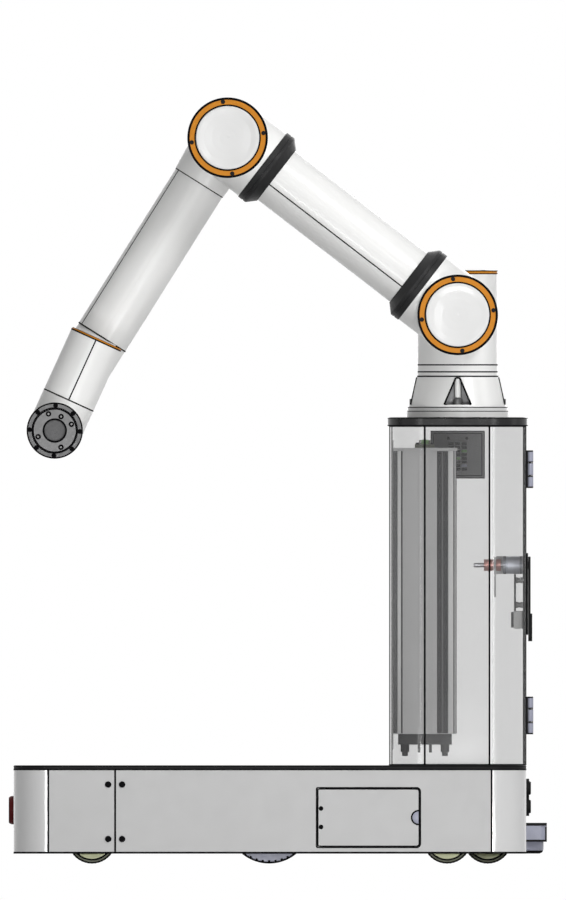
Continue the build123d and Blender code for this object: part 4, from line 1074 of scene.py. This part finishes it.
class ROBOT_OT_flange_screws(RobotOperator, bpy.types.Operator):
    """Screws and gaskets of the flange ring, and the threads, edges and bore of the tool's face"""
    bl_idname = "robot.flange_screws"
    bl_label = "Flange screws"

    def execute(self, context):
        ring_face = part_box("flange_ring")[0].y
        at_ring = Matrix.Translation((0, ring_face - tool_face, 0)) @ at_flange
        eighths = [22.5 + 45 * step for step in range(8)]
        spots = around(at_ring, self.sizes.flange_circle, eighths, -1.4 * MM)
        screws("flange_ring_screws", "wrist_two", "seal", spots, self.sizes.flange_screw, 1.6 * MM)
        join([disc_ring(at_ring, *mm(37.2, 39.6, -7.8, -0.1, 0.4)),
              disc_ring(at_ring, *mm(31.3, 32.6, -1.2, 0.25))])
        piece_done("flange_gaskets", "wrist_two", "seal")
        holes = around(at_flange, 25 * MM, QUARTERS) + around(at_flange, 21.5 * MM, (0,))
        join([disc_ring(Matrix(), *sizes, steps=24)
              for sizes in (mm(2.3, 3.9, -0.8, 0.2), mm(1.4, 2.45, -2.8, -2.1))])
        copies(holes)
        piece_done("tool_thread_liners", "flange", "seal")
        spun(outline((0, -3), (1.5, -3), (1.4, -2.4), (0, -2.4)), 24)
        copies(holes)
        piece_done("tool_thread_ends", "flange", "case")
        join([disc_ring(at_flange, *mm(14.6, 17.2, -0.8, 0.15)),
              disc_ring(at_flange, *mm(29.4, 31.25, -0.8, 0.1))])
        piece_done("tool_face_edges", "flange", "seal")
        spun(outline((0, -6.1), (15.7, -6.1), (15.4, -5.8), (0, -5.8)))
        settle(at_flange)
        piece_done("tool_pilot_floor", "flange", "bore")
        return {"FINISHED"}


class ROBOT_OT_wheels(RobotOperator, bpy.types.Operator):
    """Treads and screws of the drive wheels, and the castors' treads and dark side bands of painted
    shade on their rounded sides
    """
    bl_idname = "robot.wheels"
    bl_label = "Wheels"

    def execute(self, context):
        for side in ("left", "right"):
            axis = joint_place(f"{side}_drive_roll")
            low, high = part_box(f"drive_wheel_{side}")
            sign = -1 if side == "left" else 1
            face = low.y if side == "left" else high.y
            outward = placed((axis.x, face, axis.z), "X", -90 * sign)
            spun(outline((57.2, -2), (58.3, -2.7), (60.1, -5), (60.1, -35), (58.3, -37.3), (57.2, -38),
                         (57.2, -2)), 96)
            tread = [settle(outward)]
            bar(mm(-1.5, 1.5), mm(55.6, 59.9), mm(-3.6, -1.2), 0.3 * MM)
            tread.append(copies(turned_places(outward, 40)))
            piece_done(f"drive_tread_{side}", f"{side}_drive", "seal", tread)
            spots = around(outward, 28 * MM, [72 * step for step in range(5)], -10 * MM)
            screws(f"drive_screws_{side}", f"{side}_drive", "steel", spots, 3.2 * MM, 2.2 * MM)
        for corner in CORNERS:
            axis = joint_place(f"{corner}_roll")
            lines, bands = [], []
            for sign in (-1, 1):
                outward = placed((axis.x, axis.y + sign * 10.5 * MM, axis.z), "X", -90 * sign)
                lines.append(disc_ring(outward, *mm(27.5, 29.8, -0.5, 0.5, 0.2)))
                # Dark olive bands on the tyre's rounded sides: painted shade where they turn away.
                bands.append(disc_ring(outward, *mm(29.8, 32.0, -1.9, 0.3, 0.3)))
            upright = placed(axis, "X", 90)
            spun(outline((31.6, -9.4), (33.1, -8.2), (34.1, -4.2), (34.1, 4.2), (33.1, 8.2), (31.6, 9.4),
                         (31.2, 0), (31.6, -9.4)))
            lines.append(settle(upright))
            bar(mm(-0.9, 0.9), mm(32.2, 34.3), mm(-8.6, 8.6), 0.3 * MM)
            lines.append(copies(turned_places(upright, 44)))
            piece_done(f"castor_tread_{corner}", f"{corner}_castor", "seal", lines)
            piece_done(f"castor_painted_shade_band_{corner}", f"{corner}_castor", "olive", bands)
        return {"FINISHED"}


class ROBOT_OT_controls(RobotOperator, bpy.types.Operator):
    """Collar and rim of the stop button, and rims and skirt of the scanner"""
    bl_idname = "robot.controls"
    bl_label = "Controls"

    def execute(self, context):
        low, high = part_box("estop_head")
        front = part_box("front_shell")[0].x
        facing = placed((front, 0, (low.z + high.z) / 2), "Y", -90)
        disc_ring(facing, *mm(21.8, 25, -1.2, 0.15))
        piece_done("estop_collar", "chassis", "black")
        disc_ring(facing, *mm(16.8, 18.0, 6.4, 6.85, 0.1))
        piece_done("estop_rim", "estop", "seal")
        body_low, body_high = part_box("scanner_base")
        head_low, head_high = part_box("scanner_head")
        stand = 0.15 * MM
        half = body_high.y + stand
        x = (body_high.x - 69 * MM - stand, body_high.x + stand)
        corner = 10 * MM + stand
        rims = [rounded_frame(x, (-half, half), corner, span(body_low.z, -0.8, 2.2), 1.2 * MM)]
        rounded_frame(x, (-half, half), corner, (body_low.z, body_high.z - 5 * MM), 1.2 * MM)
        rims.append(halved(body_high.x - 2.3 * MM, -1))
        rims.append(rounded_frame((body_high.x - 77 * MM - stand, body_high.x + stand), (-half, half),
                                  0.6 * MM, (body_high.z - 4 * MM, body_high.z + stand), 2 * MM))
        piece_done("scanner_rims", "chassis", "black", rims)
        spun(outline((23.6, -0.05), (24.2, -0.05), (28.15, 1.7), (29.3, 4.2), (28.6, 4.4), (27.2, 2.4),
                     (23.6, 0.8), (23.6, -0.05)))
        settle(Matrix.Translation(((head_low.x + head_high.x) / 2, 0, head_low.z)))
        piece_done("scanner_skirt", "scanner", "seal")
        return {"FINISHED"}


class ROBOT_OT_stage(RobotOperator, bpy.types.Operator):
    """Floor, world, lamps and camera"""
    bl_idname = "robot.stage"
    bl_label = "Stage"

    def lamp(self, name, place, target, width, height, power):
        deselect_all()
        bpy.ops.object.light_add(type="AREA", location=place)
        lamp = bpy.context.object
        lamp.name = name
        lamp.data.shape = "RECTANGLE"
        lamp.data.size = width
        lamp.data.size_y = height
        lamp.data.energy = power
        lamp.rotation_euler = (Vector(target) - Vector(place)).to_track_quat("-Z", "Y").to_euler()

    def plainly_seen(self, tree):
        """One for rays from the camera, in a reflection or through a clear wall, else nought."""
        path = new_node(tree, "LightPath", {})
        seen = path.outputs["Is Camera Ray"]
        for kind in ("Is Glossy Ray", "Is Transmission Ray"):
            either = new_node(tree, "Math", {0: seen, 1: path.outputs[kind]}, operation="MAXIMUM")
            seen = either.outputs[0]
        return seen

    def execute(self, context):
        deselect_all()
        bpy.ops.mesh.primitive_plane_add(size=FLOOR_SIZE, location=(0, 0, -0.0005))
        floor = bpy.context.object
        floor.name = "studio_floor"
        paint = Finish("floor paint", (0.86, 0.86, 0.86), 0.7)
        paint.mottle(paint.noise(0.6, 2), 0.99, 1.0)
        seen = self.plainly_seen(paint.tree)
        glow = new_node(paint.tree, "Math", {0: seen, 1: FLOOR_GLOW}, operation="MULTIPLY")
        paint.set(Emission_Strength=glow.outputs[0], Emission_Color=(1, 1, 1, 1),
                  Base_Color=blend(paint.tree, seen, (0.4, 0.4, 0.4, 1), paint.painted()))
        floor.data.materials.append(paint.material)

        world = bpy.data.worlds.new("studio")
        context.scene.world = world
        world.use_nodes = True
        tree = world.node_tree
        tree.nodes.clear()
        plain = new_node(tree, "Background", {"Color": (0.12, 0.12, 0.12, 1)})
        white = new_node(tree, "Background", {"Color": (1, 1, 1, 1)})
        mix = new_node(tree, "MixShader", {"Fac": self.plainly_seen(tree), 1: plain.outputs[0],
                                           2: white.outputs[0]})
        new_node(tree, "OutputWorld", {"Surface": mix.outputs[0]})

        middle = (0, 0, 0.55)
        # Name, place, target, width, height and power
        for lamp in (("key", (1.8, -2.4, 2.5), middle, 1.0, 1.0, 44),
                     ("strip_left", (-1.25, -5.9, 1.0), (0, 0, 0.9), 0.4, 3.0, 30),
                     ("strip_right", (1.45, -5.9, 1.0), (0.1, 0, 0.9), 0.3, 3.0, 50),
                     ("side", (3.4, -0.7, 1.5), (0.2, 0, 0.7), 1.0, 1.6, 15),
                     ("low_strip", (-0.81, -3.0, 0.075), (-0.34, -0.24, 0.075), 0.48, 0.13, 5),
                     ("low", (0.2, -2.6, 0.035), (0.05, 0, 0.035), 1.4, 0.05, 17),
                     ("top", (0.3, -0.2, 3.0), (0, 0, 0), 2.6, 2.6, 18),
                     ("back", (0.5, 3.4, 1.4), middle, 2.4, 2.0, 32)):
            self.lamp(*lamp)

        deselect_all()
        across = (PHOTO_SIZE[0] / 2 - PHOTO_ORIGIN[0]) * PHOTO_SCALE
        level = (PHOTO_ORIGIN[1] - PHOTO_SIZE[1] / 2) * PHOTO_SCALE
        bpy.ops.object.camera_add(location=(across, -4, level), rotation=(radians(90), 0, 0))
        camera = bpy.context.object
        camera.data.type = "ORTHO"
        camera.data.ortho_scale = PHOTO_SIZE[1] * PHOTO_SCALE
        camera.data.clip_end = 20
        context.scene.camera = camera
        context.scene.view_settings.view_transform = "Standard"
        return {"FINISHED"}


STEPS = (ROBOT_OT_finishes, ROBOT_OT_base_seals, ROBOT_OT_column_seals, ROBOT_OT_hatch_fittings,
         ROBOT_OT_hinges, ROBOT_OT_lock, ROBOT_OT_cabinet, ROBOT_OT_ring_screws, ROBOT_OT_arm_seams,
         ROBOT_OT_flange_screws, ROBOT_OT_wheels, ROBOT_OT_controls, ROBOT_OT_stage)


class ROBOT_PT_panel(bpy.types.Panel):
    """Lists the steps of the robot's dressing"""
    bl_idname = "ROBOT_PT_panel"
    bl_label = "Robot"
    bl_space_type = "VIEW_3D"
    bl_region_type = "UI"
    bl_category = "Robot"

    def draw(self, context):
        for step in STEPS:
            self.layout.operator(step.bl_idname)
        for group in (context.scene.robot_colours, context.scene.robot_sizes):
            for name in group.__annotations__:
                self.layout.prop(group, name)


CLASSES = (RobotColours, RobotSizes, *STEPS, ROBOT_PT_panel)


def register():
    for cls in CLASSES:
        bpy.utils.register_class(cls)
    bpy.types.Scene.robot_colours = bpy.props.PointerProperty(type=RobotColours)
    bpy.types.Scene.robot_sizes = bpy.props.PointerProperty(type=RobotSizes)


def unregister():
    del bpy.types.Scene.robot_sizes
    del bpy.types.Scene.robot_colours
    for cls in reversed(CLASSES):
        bpy.utils.unregister_class(cls)


def main():
    register()
    bpy.ops.robot.finishes()
    bpy.ops.robot.base_seals()
    bpy.ops.robot.column_seals()
    bpy.ops.robot.hatch_fittings()
    bpy.ops.robot.hinges()
    bpy.ops.robot.lock()
    bpy.ops.robot.cabinet()
    bpy.ops.robot.ring_screws()
    bpy.ops.robot.arm_seams()
    bpy.ops.robot.flange_screws()
    bpy.ops.robot.wheels()
    bpy.ops.robot.controls()
    bpy.ops.robot.stage()


if __name__ == "__main__":
    main()
